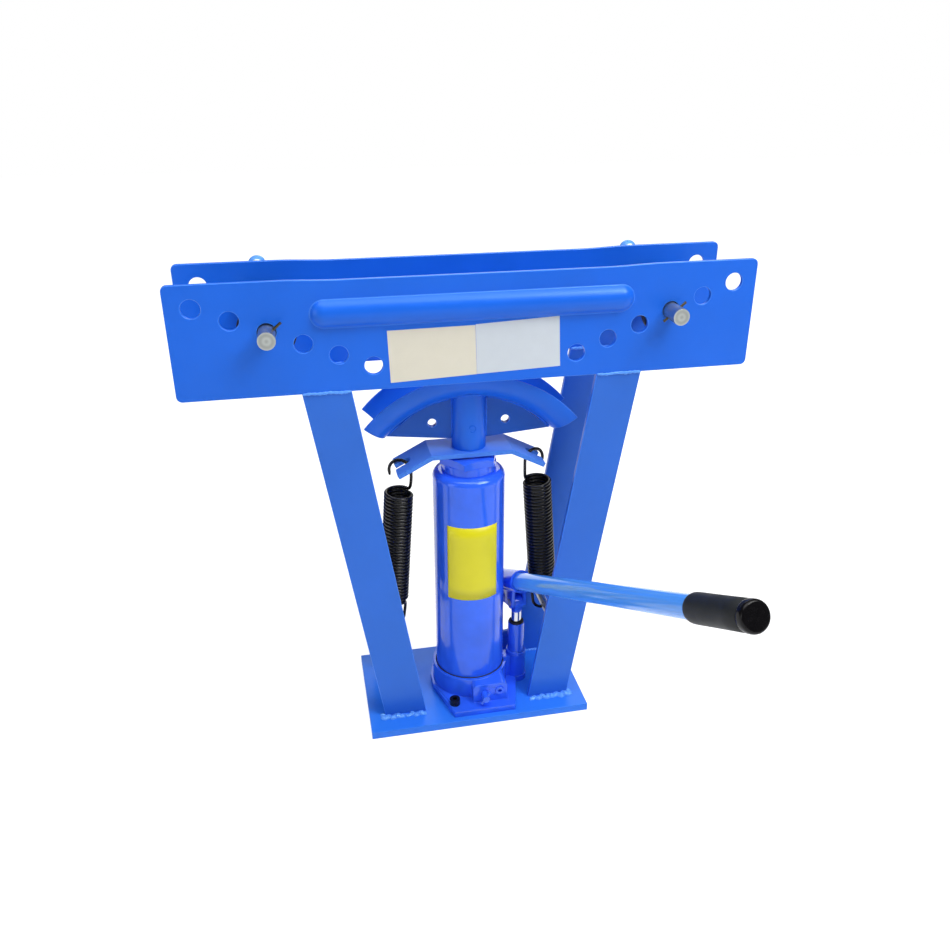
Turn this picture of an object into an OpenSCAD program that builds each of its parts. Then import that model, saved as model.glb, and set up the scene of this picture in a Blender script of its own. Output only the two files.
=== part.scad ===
// Hydraulic pipe bender: a welded frame of two side plates on four leaning legs, a bottle jack standing on
// the base, a bending die on the ram, two return springs and two rollers on removable pins.
// The origin is the middle of the base's underside. X runs along the side plates, Y to the rear, Z up.

/* [Side plates] */
// Length of a side plate
plate_l = 620; // [560:1:720]
// Height of a side plate
plate_h = 119; // [112:1:140]
// Thickness of a side plate
plate_t = 5; // [4:0.5:8]
// Clear gap between the side plates
plate_gap = 93; // [88:1:110]
// Height of the plates' top edge above the floor
frame_h = 561; // [556:1:600]
// Corner radius of a side plate
plate_corner_r = 6; // [3:0.5:10]
// How far the pressed rib has drawn the top edge down
edge_draw = 1.8; // [0.5:0.1:3]
// Length over which the drawn edge runs out at each end
edge_runout = 65; // [40:1:90]

/* [Pressed rib] */
// Length of the rib over its round ends
rib_l = 342; // [280:1:380]
// Width of the rib where it leaves the plate
rib_w = 29; // [24:0.5:34]
// Height of the rib above the plate
rib_h = 9; // [7:0.5:11]
// Middle of the rib below the plate's top edge
rib_drop = 35.5; // [30:0.5:40]

/* [Roller holes] */
// Diameter of a roller pin hole
hole_d = 19.2; // [18.6:0.1:22]
// Holes in each slanting row
hole_count = 6; // [4:1:6]
// Step of the row along the plate
hole_pitch = 35; // [30:0.5:37]
// Step of the row down the plate
hole_step = 13.7; // [10:0.1:14.5]
// Outermost hole in from the plate's end
hole_end = 25.5; // [20:0.5:35]
// Outermost hole below the plate's top edge
hole_top = 24; // [20:0.5:30]
// Hole that the roller pin stands in, counted from the outer end
pin_hole_count = 3; // [1:1:3]

/* [Base and legs] */
// Length of the base plate
base_l = 275; // [260:1:330]
// Depth of the base plate
base_w = 160; // [152:1:200]
// Thickness of the base plate
base_t = 10; // [8:0.5:14]
// Width of a leg bar measured level
leg_w = 51.3; // [46:0.1:60]
// Thickness of a leg bar
leg_t = 6; // [4:0.5:8]
// Middle of a leg at the base, out from the centre
leg_foot_x = 92; // [88:0.5:100]
// Middle of a leg at the plates' bottom edge, out from the centre
leg_head_x = 159.6; // [150:0.1:170]
// Diameter of the cross rod that holds a spring
rod_d = 10; // [8:0.5:12]
// Cross rod out from the centre
rod_x = 98; // [96:0.5:101]
// Cross rod above the floor
rod_z = 118; // [112:0.5:124]

/* [Rollers and pins] */
// Outer diameter of a roller
roller_d = 60; // [54:1:62]
// Diameter of a roller at the bottom of its groove
roller_waist_d = 42; // [38:1:46]
// Width of a roller's rim at each end
roller_rim = 7.6; // [6:0.1:10]
// End play of a roller between the side plates, at each end
roller_play = 0.8; // [0.5:0.1:2]
// Diameter of a roller pin
pin_d = 18; // [16:0.5:18.5]
// Pin end in front of the front plate
pin_front = 28.5; // [24:0.5:36]
// Gap behind the rear plate before the pin's bend
pin_rear = 4; // [3:0.5:10]
// Bend radius of the pin along its middle
pin_bend_r = 18; // [14:0.5:24]
// Upright end of the pin above its axis
pin_grip_h = 46; // [40:0.5:70]
// Lean of the pin's upright end to the left
pin_lean = 9; // [0:1:30]
// Diameter of the cotter through a pin
cotter_d = 2.8; // [2.5:0.1:4.5]
// Length of the cotter
cotter_l = 31; // [26:1:40]
// Cotter in front of the front plate
cotter_gap = 8; // [5:0.5:10]
// Lean of the cotter from level
cotter_lean = 40; // [0:1:80]
// How far the left cotter is pushed through, to the upper right
left_cotter_push = 4; // [0:0.5:6]
// How far the right cotter is pushed through, to the upper right
right_cotter_push = 1; // [0:0.5:6]

/* [Bending die] */
// Outer diameter of the pipe that the die bends
pipe_d = 60; // [54:0.5:62]
// Radius of the bend along the pipe's middle
bend_r = 159; // [154:1:165]
// Angle that the die's groove covers
die_angle = 99; // [90:1:104]
// Wall of the die's channel
die_wall = 2.8; // [2.5:0.1:4]
// Thickness of the web under the channel
web_t = 8; // [6:0.5:12]
// Depth of the web below the channel's underside at the socket
web_h = 53.5; // [50:0.5:58]
// Diameter of a lightening hole in the web
web_hole_d = 10; // [6:0.5:12]
// Lightening hole out from the centre
web_hole_x = 42.5; // [36:0.5:46]
// Lightening hole above the web's lower edge
web_hole_z = 22.5; // [14:0.5:24]
// Outer diameter of the die's socket
socket_d = 40; // [39:0.5:46]
// Height of the socket from the yoke to the channel
socket_h = 62.4; // [58:0.1:72]
// Turn of the resting die on the ram
die_turn = -2.8; // [-4:0.1:4]

/* [Ram and yoke] */
// Diameter of the ram
ram_d = 44; // [40:0.5:46]
// Diameter of the spigot on top of the ram
spigot_d = 32; // [28:0.5:34]
// Length of the spigot above the yoke
spigot_h = 45; // [30:1:60]
// Working stroke of the ram
ram_stroke = 160; // [120:1:180]
// Ram showing between the gland nut and the yoke
ram_show = 2.5; // [2:0.5:12]
// Thickness of the yoke plate
yoke_t = 5.5; // [4:0.5:8]
// Depth of the yoke
yoke_w = 50; // [44:1:60]
// Length of the yoke's level middle
yoke_flat_l = 95; // [90:1:100]
// Reach of a yoke wing beyond the bend, measured level
wing_l = 40; // [36:0.5:44]
// Slope of a wing below level
wing_angle = 27.5; // [20:0.5:32]
// Width of the spring slot in a wing
slot_w = 13; // [12.5:0.5:18]
// Depth of the spring slot
slot_depth = 19; // [17:0.5:22]

/* [Return springs] */
// Wire of a spring
wire_d = 3.8; // [3.6:0.1:4.8]
// Outer diameter of a spring
spring_d = 34.5; // [33:0.5:38]
// Least reach of a hook beyond the close wound turns, before its loop
hook_reach = 23; // [20:0.5:26]
// Gap between neighbouring turns
turn_gap = 0.8; // [0.6:0.05:1]
// Turn of the upper hook out of the frame's plane
hook_turn = 24; // [20:1:28]
// Upper end of a spring's middle line in from the wing's end
hook_in = 6.5; // [6:0.5:8]

/* [Jack] */
// Outer diameter of the oil tank
tank_d = 86.5; // [82:0.5:88]
// Wall of the tank
tank_wall = 3; // [2.5:0.5:4]
// Height of the tank from its seat
tank_h = 283.5; // [250:0.5:300]
// Rounding of the tank's shoulder
shoulder_r = 9; // [6:0.5:10]
// Thickness of the jack's foot plate
foot_t = 8; // [6:0.5:12]
// Height of the collar's rim above the base
collar_h = 35; // [30:0.5:40]
// Outer diameter of the collar round the tank
collar_d = 96; // [94:0.5:99]
// Depth that the tank stands into the collar
tank_sink = 9; // [6:0.5:12]
// Outer diameter of the pressure cylinder
cylinder_d = 60; // [57:0.5:62]
// Bore of the pressure cylinder
cylinder_bore = 50; // [48:0.5:52]
// Width of the gland nut over its corners
nut_w = 73; // [70:0.5:76]
// Height of the gland nut's hexagon
nut_h = 10; // [8:0.5:24]
// Height of the round ring under the hexagon
nut_ring_h = 10.5; // [4:0.5:16]
// Turn of the gland nut's hexagon
nut_turn = 12; // [0:1:30]
// Front and rear edge of the jack's foot from its middle
foot_front = 72.5; // [68:0.5:75]
// Corner of the foot to the left at its front and rear edges
foot_front_left = 33; // [32:0.5:44]
// Corner of the foot to the right at its front and rear edges
foot_front_right = 44.5; // [42:0.5:50]
// Left side of the foot from its middle
foot_left = 51; // [50:0.5:54]
// Right side of the foot from its middle
foot_right = 60; // [58:0.5:64]
// Half length of the foot's straight sides
foot_side = 11; // [8:0.5:20]
// Diameter of the oil filler plug
plug_d = 10; // [8:0.5:14]
// Diameter of a hold-down screw
screw_d = 8; // [6:1:10]
// Diameter of a hold-down screw's head
screw_head_d = 13; // [11:0.5:14]
// Hold-down screw out from the jack's middle along the plates
screw_x = 30; // [28:0.5:32]
// Hold-down screw out from the jack's middle across the plates
screw_y = 55.5; // [54:0.5:60]

/* [Jack valves] */
// Width of the valve block on the foot's front
valve_block_w = 44; // [40:0.5:50]
// Middle of the valve block to the right of the jack's middle
valve_block_x = 15; // [10:0.5:20]
// Front of the valve block from the jack's middle
valve_block_y = 59; // [56:0.5:64]
// Height of the valve block above the foot plate
valve_block_h = 26; // [24:0.5:30]
// Rounding of the valve block's upper corners
valve_block_r = 6; // [3:0.5:9]
// Release valve spindle from the middle of the block
release_x = 7.5; // [6:0.5:10]
// Release valve spindle above the foot plate
release_z = 12.5; // [11:0.5:14]
// Diameter of the release valve spindle
release_d = 9; // [8:0.5:10]
// Reach of the release valve out of the block
release_out = 13; // [11:0.5:16]
// Length of the cross bar on the release valve
release_bar_l = 19; // [15:0.5:22]
// Diameter of the cross bar
release_bar_d = 4; // [3:0.5:5]
// Turn of the cross bar from upright
release_bar_turn = 35; // [0:1:90]
// Overload valve from the middle of the block
overload_x = 12; // [11:0.5:14]
// Overload valve above the foot plate
overload_z = 15; // [13:0.5:16]
// Diameter of the overload valve screw
overload_d = 11; // [10:0.5:12]
// Reach of the overload valve screw out of the block
overload_out = 1.5; // [0.5:0.5:4]

/* [Pump] */
// Pump to the right of the jack's middle
pump_x = 60.5; // [60:0.5:63]
// Pump in front of the jack's middle
pump_y = 5; // [0:0.5:8]
// Turn of the pump's lever to the right of straight forward
pump_turn = 10; // [6:1:14]
// Outer diameter of the pump cylinder
pump_d = 21; // [20:0.5:23]
// Top of the pump cylinder above the base
pump_top = 86.5; // [82:0.5:87]
// Height of the pump's boss above the base
boss_h = 40.5; // [36:0.5:43]
// Outer diameter of the pump's boss
boss_d = 26; // [25:0.5:29]
// Width of the arm between the collar and the pump's boss
boss_arm_w = 17.5; // [14:0.5:22]
// Diameter of the plunger
plunger_d = 13; // [11:0.5:14]
// Width of the plunger's eye between the lever's ears
eye_w = 11; // [9:0.5:12]
// Diameter of the lever's pins
lever_pin_d = 8; // [7:0.5:9]
// Height of the plunger pin above the base
plunger_pin_z = 117; // [115:0.5:122]
// Distance from the plunger pin back to the fulcrum pin, measured level
lever_arm = 30; // [28:0.5:32]
// Slope from the fulcrum pin up to the plunger pin
lever_slope = 12; // [8:1:16]
// Height of the link's foot pin above the base
link_foot_z = 45; // [44:0.5:48]
// Width of a link plate
link_w = 14; // [12:0.5:15]
// Thickness of a link plate
link_t = 4; // [3:0.5:4.5]
// Thickness of the lever's ears
ear_t = 4; // [3:0.5:5]

/* [Handle] */
// Slope of the handle above level
handle_rise = 26.9; // [24:0.1:32]
// Height of the handle's middle line above the plunger pin
handle_over = 30; // [30:0.1:36]
// Outer diameter of the handle's socket
lever_socket_d = 29; // [27:0.5:30]
// Socket in front of the plunger pin, along the handle
lever_socket_front = 15; // [12:0.5:20]
// Length of the socket
lever_socket_l = 58; // [52:1:64]
// Diameter of the handle tube
handle_d = 22.6; // [20:0.1:23]
// Wall of the handle tube
handle_wall = 2; // [1.5:0.5:3]
// Length of the handle tube
handle_l = 512.5; // [480:0.5:560]
// Depth that the handle stands in the socket
handle_in = 44; // [36:1:48]
// Diameter of the grip
grip_d = 27.5; // [26:0.5:32]
// Length of the grip
grip_l = 83.5; // [70:0.5:140]
// Grip wall over the tube's end
grip_end = 4; // [3:0.5:8]

/* [Hidden] */
$fn = 64;
// Overrun of a cut past the face that it opens
over = 1;
// Radial running clearance of sliding and turning fits
run_fit = 0.06;
// Gap between pieces that lie close on each other
lie_gap = 0.3;
// Joint line of a weld between two round faces
weld_gap = 0.05;
// Rounding of small cast and turned edges
edge_r = 2;

// Frame
plate_in_y = plate_gap / 2;
plate_out_y = plate_in_y + plate_t;
plate_bottom = frame_h - plate_h;
leg_slope = (leg_head_x - leg_foot_x) / (plate_bottom - base_t);
leg_in_y = plate_out_y - leg_t;
rib_r = (pow(rib_w / 2, 2) + pow(rib_h, 2)) / (2 * rib_h);
rib_sink = rib_r - rib_h;
rib_z = frame_h - rib_drop;
edge_steps = 10;
corner_steps = 6;
hole_first_x = plate_l / 2 - hole_end;
hole_first_z = frame_h - hole_top;
pin_x = hole_first_x - (pin_hole_count - 1) * hole_pitch;
// The pins lie on the bottom of their holes
pin_z = hole_first_z - (pin_hole_count - 1) * hole_step - (hole_d - pin_d) / 2 + run_fit;

// Jack heights
foot_top = base_t + foot_t;
collar_top = base_t + collar_h;
tank_seat = collar_top - tank_sink;
tank_top = tank_seat + tank_h;
nut_top = tank_top + nut_ring_h + nut_h;
// Part of the gland nut that stands in the tank's top
nut_skirt = 9;
// Step from the foot plate up to the pressure cylinder's seat, and from there up to the resting piston
seat_step = 4;
cylinder_seat = foot_top + seat_step;
cylinder_top = tank_top - nut_skirt;
yoke_bottom = nut_top + ram_show;
yoke_top = yoke_bottom + yoke_t;
// Height of the piston, and of its seal
piston_h = 22;
seal_h = 8;
ram_bottom = cylinder_seat + seat_step;

// Die
groove_r = pipe_d / 2;
channel_r = groove_r + die_wall;
under_r = bend_r - channel_r;
die_z = yoke_top + socket_h - under_r;
web_low_z = die_z + under_r - web_h;

// Yoke
wing_x = yoke_flat_l / 2 + wing_l;
wing_drop = wing_l * tan(wing_angle);
slot_end_x = wing_x - slot_depth;

// Pump and handle
plunger_pin = base_t + plunger_pin_z;
fulcrum_z = plunger_pin - lever_arm * tan(lever_slope);
link_foot = base_t + link_foot_z;
pump_cyl_top = base_t + pump_top;
boss_top = base_t + boss_h;
ear_in = eye_w / 2 + lie_gap;
ear_out = ear_in + ear_t;
link_in = ear_out + lie_gap;
link_out = link_in + link_t;
eye_r = lever_pin_d / 2 + link_t + lie_gap;
link_r = link_w / 2;
handle_z = plunger_pin + handle_over;
socket_bore_d = handle_d + 2 * lie_gap;

// Springs
coil_r = (spring_d - wire_d) / 2;
coil_pitch = wire_d + turn_gap;
hook_r = coil_r - wire_d / 2;
// Ends of the spring's middle line: under the cross rod and over the wing
rod_hook_z = rod_z - rod_d / 2 - wire_d / 2 - lie_gap;
wing_hook_x = wing_x - hook_in;
wing_hook_z = yoke_top - (wing_hook_x - yoke_flat_l / 2) * tan(wing_angle) + wire_d / 2 + turn_gap;
spring_span = norm([rod_x - wing_hook_x, wing_hook_z - rod_hook_z]);
spring_lean = atan((rod_x - wing_hook_x) / (wing_hook_z - rod_hook_z));
// As many close wound turns as the span leaves room for
spring_turns = floor((spring_span - 2 * (hook_r + hook_reach)) / coil_pitch);
coil_h = spring_turns * coil_pitch;
hook_lift = (spring_span - coil_h) / 2 - hook_r;

// Paint and bare finishes
frame_blue = "#2f6fe0";
jack_blue = "#2a55e0";
bare_steel = "#b4b6b8";
dark_steel = "#3a3c40";
black_rubber = "#1c1c1e";
brass = "#8d7a4a";

// Mirror image of a piece of the right hand side
module left_hand() { mirror([1, 0, 0]) children(); }

// A cylinder along Y, centred on it
module rod_y(d, l) { rotate([90, 0, 0]) cylinder(d = d, h = l, center = true); }

// Frame

module base_plate() {
    color(frame_blue)
        difference() {
            translate([-base_l / 2, -base_w / 2, 0]) cube([base_l, base_w, base_t]);
            screw_places() translate([0, 0, -over])
                cylinder(d = screw_d + 2 * run_fit, h = base_t + 2 * over);
        }
}

// Height of the plate's top edge at x: drawn down along the rib and running out smoothly
function ease(t) = (1 - cos(180 * min(max(t, 0), 1))) / 2;
function edge_z(x) =
    frame_h - edge_draw * (1 - ease((abs(x) - rib_l / 2 + edge_runout / 2) / edge_runout));
corner_turn = 90;
function corner(cx, cz, from) = [
    for (i = [0:corner_steps])
        let (a = from + corner_turn * i / corner_steps)
        [cx + plate_corner_r * cos(a), cz + plate_corner_r * sin(a)]
];

module plate_outline() {
    half = plate_l / 2;
    in_x = half - plate_corner_r;
    low = plate_bottom + plate_corner_r;
    high = frame_h - plate_corner_r;
    run = rib_l / 2 - edge_runout / 2;
    top_edge = [for (s = [1, -1]) for (i = [0:edge_steps])
        let (t = s > 0 ? 1 - i / edge_steps : i / edge_steps, x = s * (run + edge_runout * t))
        [x, edge_z(x)]];
    polygon(concat(corner(-in_x, low, 180), corner(in_x, low, 270), corner(in_x, high, 0), top_edge,
        corner(-in_x, high, 90)));
}

// A bar along X with ball ends, used for the rib and its hollow
module rib_bar(r) {
    reach = rib_l / 2 - rib_w / 2;
    rotate([0, 90, 0]) cylinder(r = r, h = 2 * reach, center = true);
    for (s = [-1, 1]) translate([s * reach, 0, 0]) sphere(r = r);
}

module hole_places() {
    for (s = [-1, 1], i = [0:hole_count - 1])
        translate([s * (hole_first_x - i * hole_pitch), 0, hole_first_z - i * hole_step]) children();
}

// Rear side plate: flat, with the rib pressed outward and its hollow inside
module side_plate() {
    rib_y = plate_out_y - rib_sink;
    difference() {
        union() {
            translate([0, plate_out_y, 0]) rotate([90, 0, 0]) linear_extrude(plate_t) plate_outline();
            intersection() {
                translate([0, rib_y, rib_z]) rib_bar(rib_r);
                translate([-plate_l / 2, plate_in_y + plate_t / 2, plate_bottom])
                    cube([plate_l, plate_h, plate_h]);
            }
        }
        translate([0, rib_y, rib_z]) rib_bar(rib_r - plate_t);
        hole_places() translate([0, plate_in_y + plate_t / 2, 0]) rod_y(hole_d, plate_t + 2 * over);
    }
}

module front_side_plate() { color(frame_blue) mirror([0, 1, 0]) side_plate(); }
module rear_side_plate() { color(frame_blue) side_plate(); }

// Leg bar of the rear right corner, welded under the plate's bottom edge and flush with its outer face
module leg() {
    rise = plate_bottom - base_t;
    color(frame_blue)
        translate([leg_foot_x, plate_out_y, base_t]) rotate([90, 0, 0]) linear_extrude(leg_t)
            polygon([
                [-leg_w / 2, 0], [leg_w / 2, 0],
                [leg_w / 2 + rise * leg_slope, rise], [-leg_w / 2 + rise * leg_slope, rise]
            ]);
}

module rear_right_leg() { leg(); }
module rear_left_leg() { left_hand() leg(); }
module front_right_leg() { mirror([0, 1, 0]) leg(); }
module front_left_leg() { left_hand() mirror([0, 1, 0]) leg(); }

module right_spring_rod() { color(bare_steel) translate([rod_x, 0, rod_z]) rod_y(rod_d, 2 * leg_in_y); }
module left_spring_rod() { left_hand() right_spring_rod(); }

// Return springs: one unbroken wire, hook, close turns and hook

function unit(v) = v / norm(v);
function bridge(a, b, c, n) = [
    for (i = [1:n - 1]) let (t = i / n) (1 - t) * (1 - t) * a + 2 * t * (1 - t) * b + t * t * c
];
function tangent(p, i) = unit(p[min(i + 1, len(p) - 1)] - p[max(i - 1, 0)]);
function square_to(n, t) = unit(n - (n * t) * t);

wire_sides = 6;
turn_rings = 8;
hook_rings = 9;
hook_sweep = 195;
bridge_rings = 4;

// An open loop that starts upright over the coil's inner rim and swings away from the X axis by turn
function hook(turn) = [
    for (i = [0:hook_rings])
        let (a = hook_sweep * i / hook_rings, out = hook_r * (1 - cos(a)))
        [out * cos(turn) - hook_r, out * sin(turn), hook_lift + hook_r * sin(a)]
];
// The loop's wire end, straight for one wire diameter
function hook_tail(loop) =
    loop[hook_rings] + wire_d * unit(loop[hook_rings] - loop[hook_rings - 1]);

// Middle line of a spring: Z along its axis from the lowest turn, plain hook below, turned hook above
function spring_line() =
    let (
        low_hook = [for (p = hook(0)) [p.x, p.y, -p.z]],
        high_hook = [for (p = hook(hook_turn)) [p.x, p.y, coil_h + p.z]],
        coil = [
            for (i = [0:spring_turns * turn_rings])
                let (a = 180 + 360 * i / turn_rings)
                [coil_r * cos(a), coil_r * sin(a), coil_pitch * i / turn_rings]
        ],
        last = len(coil) - 1
    )
    concat(
        [hook_tail(low_hook)], [for (i = [hook_rings:-1:0]) low_hook[i]],
        bridge(low_hook[0], coil[0], coil[1], bridge_rings),
        [for (i = [1:last - 1]) coil[i]],
        bridge(coil[last - 1], coil[last], high_hook[0], bridge_rings),
        high_hook, [hook_tail(high_hook)]
    );

function wire_rings(p, r) =
    let (first = square_to([0, 1, 0], tangent(p, 0)))
    [for (i = 0, n = first; i < len(p); i = i + 1, n = i < len(p) ? square_to(n, tangent(p, i)) : n)
        let (b = cross(tangent(p, i), n))
        for (k = [0:wire_sides - 1])
            p[i] + r * (cos(360 * k / wire_sides) * n + sin(360 * k / wire_sides) * b)];

function wire_faces(rings) = concat(
    [for (k = [1:wire_sides - 2]) [0, k, k + 1]],
    [for (i = [0:rings - 2], k = [0:wire_sides - 1], h = [0, 1])
        let (
            a = i * wire_sides + k,
            b = i * wire_sides + (k + 1) % wire_sides,
            c = a + wire_sides,
            d = b + wire_sides
        )
        h == 0 ? [a, c, b] : [b, c, d]],
    [for (k = [1:wire_sides - 2]) let (e = (rings - 1) * wire_sides) [e, e + k + 1, e + k]]
);

// Least distance between stretches of the wire over half a turn apart, less the wire itself
function self_gap(p) =
    min([
        for (i = [0:len(p) - 1], j = [i + turn_rings / 2 + 1:1:len(p) - 1]) norm(p[i] - p[j])
    ]) - wire_d;

module spring() {
    line = spring_line();
    echo(spring_self_gap = self_gap(line));
    color(black_rubber)
        translate([rod_x, 0, rod_hook_z]) rotate([0, -spring_lean, 0])
            translate([0, 0, hook_lift + hook_r])
                polyhedron(wire_rings(line, wire_d / 2), wire_faces(len(line)), convexity = 10);
}

module right_spring() { spring(); }
module left_spring() { left_hand() spring(); }

// Rollers and their pins

module roller() {
    l = plate_gap - 2 * roller_play;
    waist_r = roller_waist_d / 2;
    depth = (roller_d - roller_waist_d) / 2;
    half = l / 2 - roller_rim;
    groove_arc = (half * half + depth * depth) / (2 * depth);
    color(dark_steel)
        translate([pin_x, 0, pin_z]) rotate([90, 0, 0])
            difference() {
                cylinder(d = roller_d, h = l, center = true);
                rotate_extrude() translate([waist_r + groove_arc, 0]) circle(r = groove_arc, $fn = 128);
                cylinder(d = pin_d + 2 * lie_gap, h = l + 2 * over, center = true);
            }
}

module right_roller() { roller(); }
module left_roller() { left_hand() roller(); }

// Pin with its bent upright end behind the rear plate, leaning to the left
module roller_pin() {
    front = -plate_out_y - pin_front;
    bend = plate_out_y + pin_rear;
    straight = pin_grip_h - pin_bend_r;
    color(bare_steel)
        difference() {
            rotate([0, -pin_lean, 0]) union() {
                translate([0, bend, 0]) rotate([90, 0, 0]) cylinder(d = pin_d, h = bend - front);
                translate([0, bend, pin_bend_r]) pin_elbow();
                translate([0, bend + pin_bend_r, pin_bend_r]) cylinder(d = pin_d, h = straight);
                translate([0, bend + pin_bend_r, pin_grip_h]) pin_crown();
            }
            cotter_place() cylinder(d = cotter_d + 2 * run_fit, h = 2 * pin_d, center = true);
        }
}

// Quarter turn from along Y to upright
module pin_elbow() {
    rotate([90, 0, 90]) rotate([0, 0, -90])
        rotate_extrude(angle = 90) translate([pin_bend_r, 0]) circle(d = pin_d);
}

// Domed end of the pin: its height and its ball's radius, both from the pin
crown_share = 0.42;
ball_share = 0.56;

module pin_crown() {
    ball_r = ball_share * pin_d;
    intersection() {
        translate([0, 0, crown_share * pin_d - ball_r]) sphere(r = ball_r);
        cylinder(d = pin_d, h = pin_d);
    }
}

module cotter_place() {
    translate([0, -plate_out_y - cotter_gap, 0]) rotate([0, 90 - cotter_lean, 0]) children();
}

module right_roller_pin() { translate([pin_x, 0, pin_z]) roller_pin(); }
module left_roller_pin() { translate([-pin_x, 0, pin_z]) roller_pin(); }

module cotter(push) {
    color(brass) cotter_place() translate([0, 0, push]) cylinder(d = cotter_d, h = cotter_l, center = true);
}
module right_cotter() { translate([pin_x, 0, pin_z]) cotter(right_cotter_push); }
module left_cotter() { translate([-pin_x, 0, pin_z]) cotter(left_cotter_push); }

// Bending die

// The die's arc stands in the XZ plane about a centre below it: the child profile lies at its own radius
module die_sweep() {
    translate([0, 0, die_z]) rotate([90, 0, 0]) rotate([0, 0, 90 - die_angle / 2])
        rotate_extrude(angle = die_angle, $fn = 180) children();
}

// The die turns freely on the ram's spigot and rests a little out of line with the plates
module die_place() { rotate([0, 0, die_turn]) children(); }

// Half round trough, open outward
module die_channel() {
    color(frame_blue)
        die_place() die_sweep()
            difference() {
                translate([bend_r, 0]) circle(r = channel_r);
                translate([bend_r, 0]) circle(r = groove_r);
                translate([bend_r, -channel_r - over])
                    square([channel_r + over, 2 * (channel_r + over)]);
            }
}

// Half of the flat web on the right, from the socket to the trough's end
module die_web() {
    end_a = die_angle / 2;
    end_x = (under_r - weld_gap) * sin(end_a);
    end_z = die_z + (under_r - weld_gap) * cos(end_a);
    color(frame_blue)
        difference() {
            translate([0, web_t / 2, 0]) rotate([90, 0, 0]) linear_extrude(web_t)
                difference() {
                    polygon([[0, web_low_z], [end_x, end_z], [0, die_z + bend_r]]);
                    translate([web_hole_x, web_low_z + web_hole_z]) circle(d = web_hole_d);
                }
            trough_cut();
            translate([0, 0, yoke_top - over]) cylinder(d = socket_d + 2 * weld_gap, h = bend_r);
        }
}

// Everything above the trough's underside
module trough_cut() {
    translate([0, 0, die_z]) rotate([90, 0, 0]) rotate_extrude($fn = 180)
        union() {
            translate([bend_r, 0]) circle(r = channel_r + weld_gap);
            translate([bend_r, -channel_r - weld_gap]) square([channel_r, 2 * (channel_r + weld_gap)]);
        }
}

module die_right_web() { die_place() die_web(); }
module die_left_web() { die_place() left_hand() die_web(); }

// Upright tube that drops over the ram's spigot, its top fitted to the trough's underside
module die_socket() {
    color(frame_blue)
        die_place() difference() {
            translate([0, 0, yoke_top + weld_gap]) cylinder(d = socket_d, h = socket_h + channel_r);
            trough_cut();
            translate([0, 0, yoke_top - over])
                cylinder(d = spigot_d + 2 * lie_gap, h = spigot_h + 2 * over);
        }
}

// Ram and yoke

module ram() {
    color(bare_steel) {
        translate([0, 0, ram_bottom + piston_h])
            cylinder(d = ram_d, h = yoke_bottom - ram_bottom - piston_h);
        translate([0, 0, yoke_bottom]) cylinder(d = spigot_d, h = yoke_t + spigot_h - edge_r);
        translate([0, 0, yoke_top + spigot_h - edge_r])
            cylinder(d1 = spigot_d, d2 = spigot_d - 2 * edge_r, h = edge_r);
    }
}

module seal_groove() {
    translate([0, 0, ram_bottom + (piston_h - seal_h) / 2]) children();
}

module ram_piston() {
    color(dark_steel)
        difference() {
            translate([0, 0, ram_bottom]) cylinder(d = cylinder_bore - 2 * run_fit, h = piston_h);
            seal_groove() difference() {
                cylinder(d = cylinder_bore + over, h = seal_h);
                cylinder(d = ram_d - edge_r, h = seal_h);
            }
        }
}

module ram_seal() {
    color(black_rubber)
        seal_groove() difference() {
            cylinder(d = cylinder_bore - 2 * run_fit, h = seal_h);
            translate([0, 0, -over]) cylinder(d = ram_d - edge_r, h = seal_h + 2 * over);
        }
}

// Bent plate with an open slot in each sloping wing
module yoke() {
    half = yoke_flat_l / 2;
    in_x = half - yoke_t * tan(wing_angle / 2);
    end_x = wing_x - yoke_t * sin(wing_angle);
    end_z = yoke_top - wing_drop - yoke_t * cos(wing_angle);
    right = [[half, yoke_top], [wing_x, yoke_top - wing_drop], [end_x, end_z], [in_x, yoke_bottom]];
    left = [for (i = [len(right) - 1:-1:0]) [-right[i].x, right[i].y]];
    color(frame_blue)
        difference() {
            translate([0, yoke_w / 2, 0]) rotate([90, 0, 0])
                linear_extrude(yoke_w) polygon(concat(right, left));
            translate([0, 0, yoke_bottom - over])
                cylinder(d = spigot_d + 2 * run_fit, h = yoke_t + 2 * over);
            for (s = [-1, 1]) translate([s * (slot_end_x + slot_w / 2), 0, 0]) {
                translate([0, 0, end_z]) cylinder(d = slot_w, h = wing_l);
                translate([s > 0 ? 0 : -slot_depth, -slot_w / 2, end_z - over])
                    cube([slot_depth, slot_w, wing_l]);
            }
        }
}

// Jack

module screw_places() {
    for (s = [-1, 1]) translate([s * screw_x, s * screw_y, 0]) children();
}

// Pump frame of its own: X along the lever, forward of the jack, Y to the right
module pump_place() {
    translate([pump_x, -pump_y, 0]) rotate([0, 0, pump_turn - 90]) children();
}

// Check balls, the level oilway that one lies in and the upright bore under the pump
ball_d = 6;
oilway_d = ball_d + 2 * lie_gap;
ball_bore = oilway_d + 2 * lie_gap;
oilway_z = foot_top - edge_r;
pump_seat = foot_top + ball_d;
release_in = cylinder_d / 2 + ball_d;
release_way_d = ball_d - edge_r;
// Middle of the release ball in front of its seat, on the edge of the narrow bore
release_seat = sqrt(pow(ball_d / 2, 2) - pow(release_way_d / 2, 2)) + weld_gap;
overload_in = collar_d / 2 - edge_r;
overload_front = valve_block_y + overload_out;
overload_l = overload_out + (valve_block_y - overload_in) / 2;
lug_r = lever_pin_d / 2 + link_t;
// Edge of the foot plate round what stands on its rim, and the middle of the plate's thickness
foot_pad = 1;
foot_mid = base_t + foot_t / 2;

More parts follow.
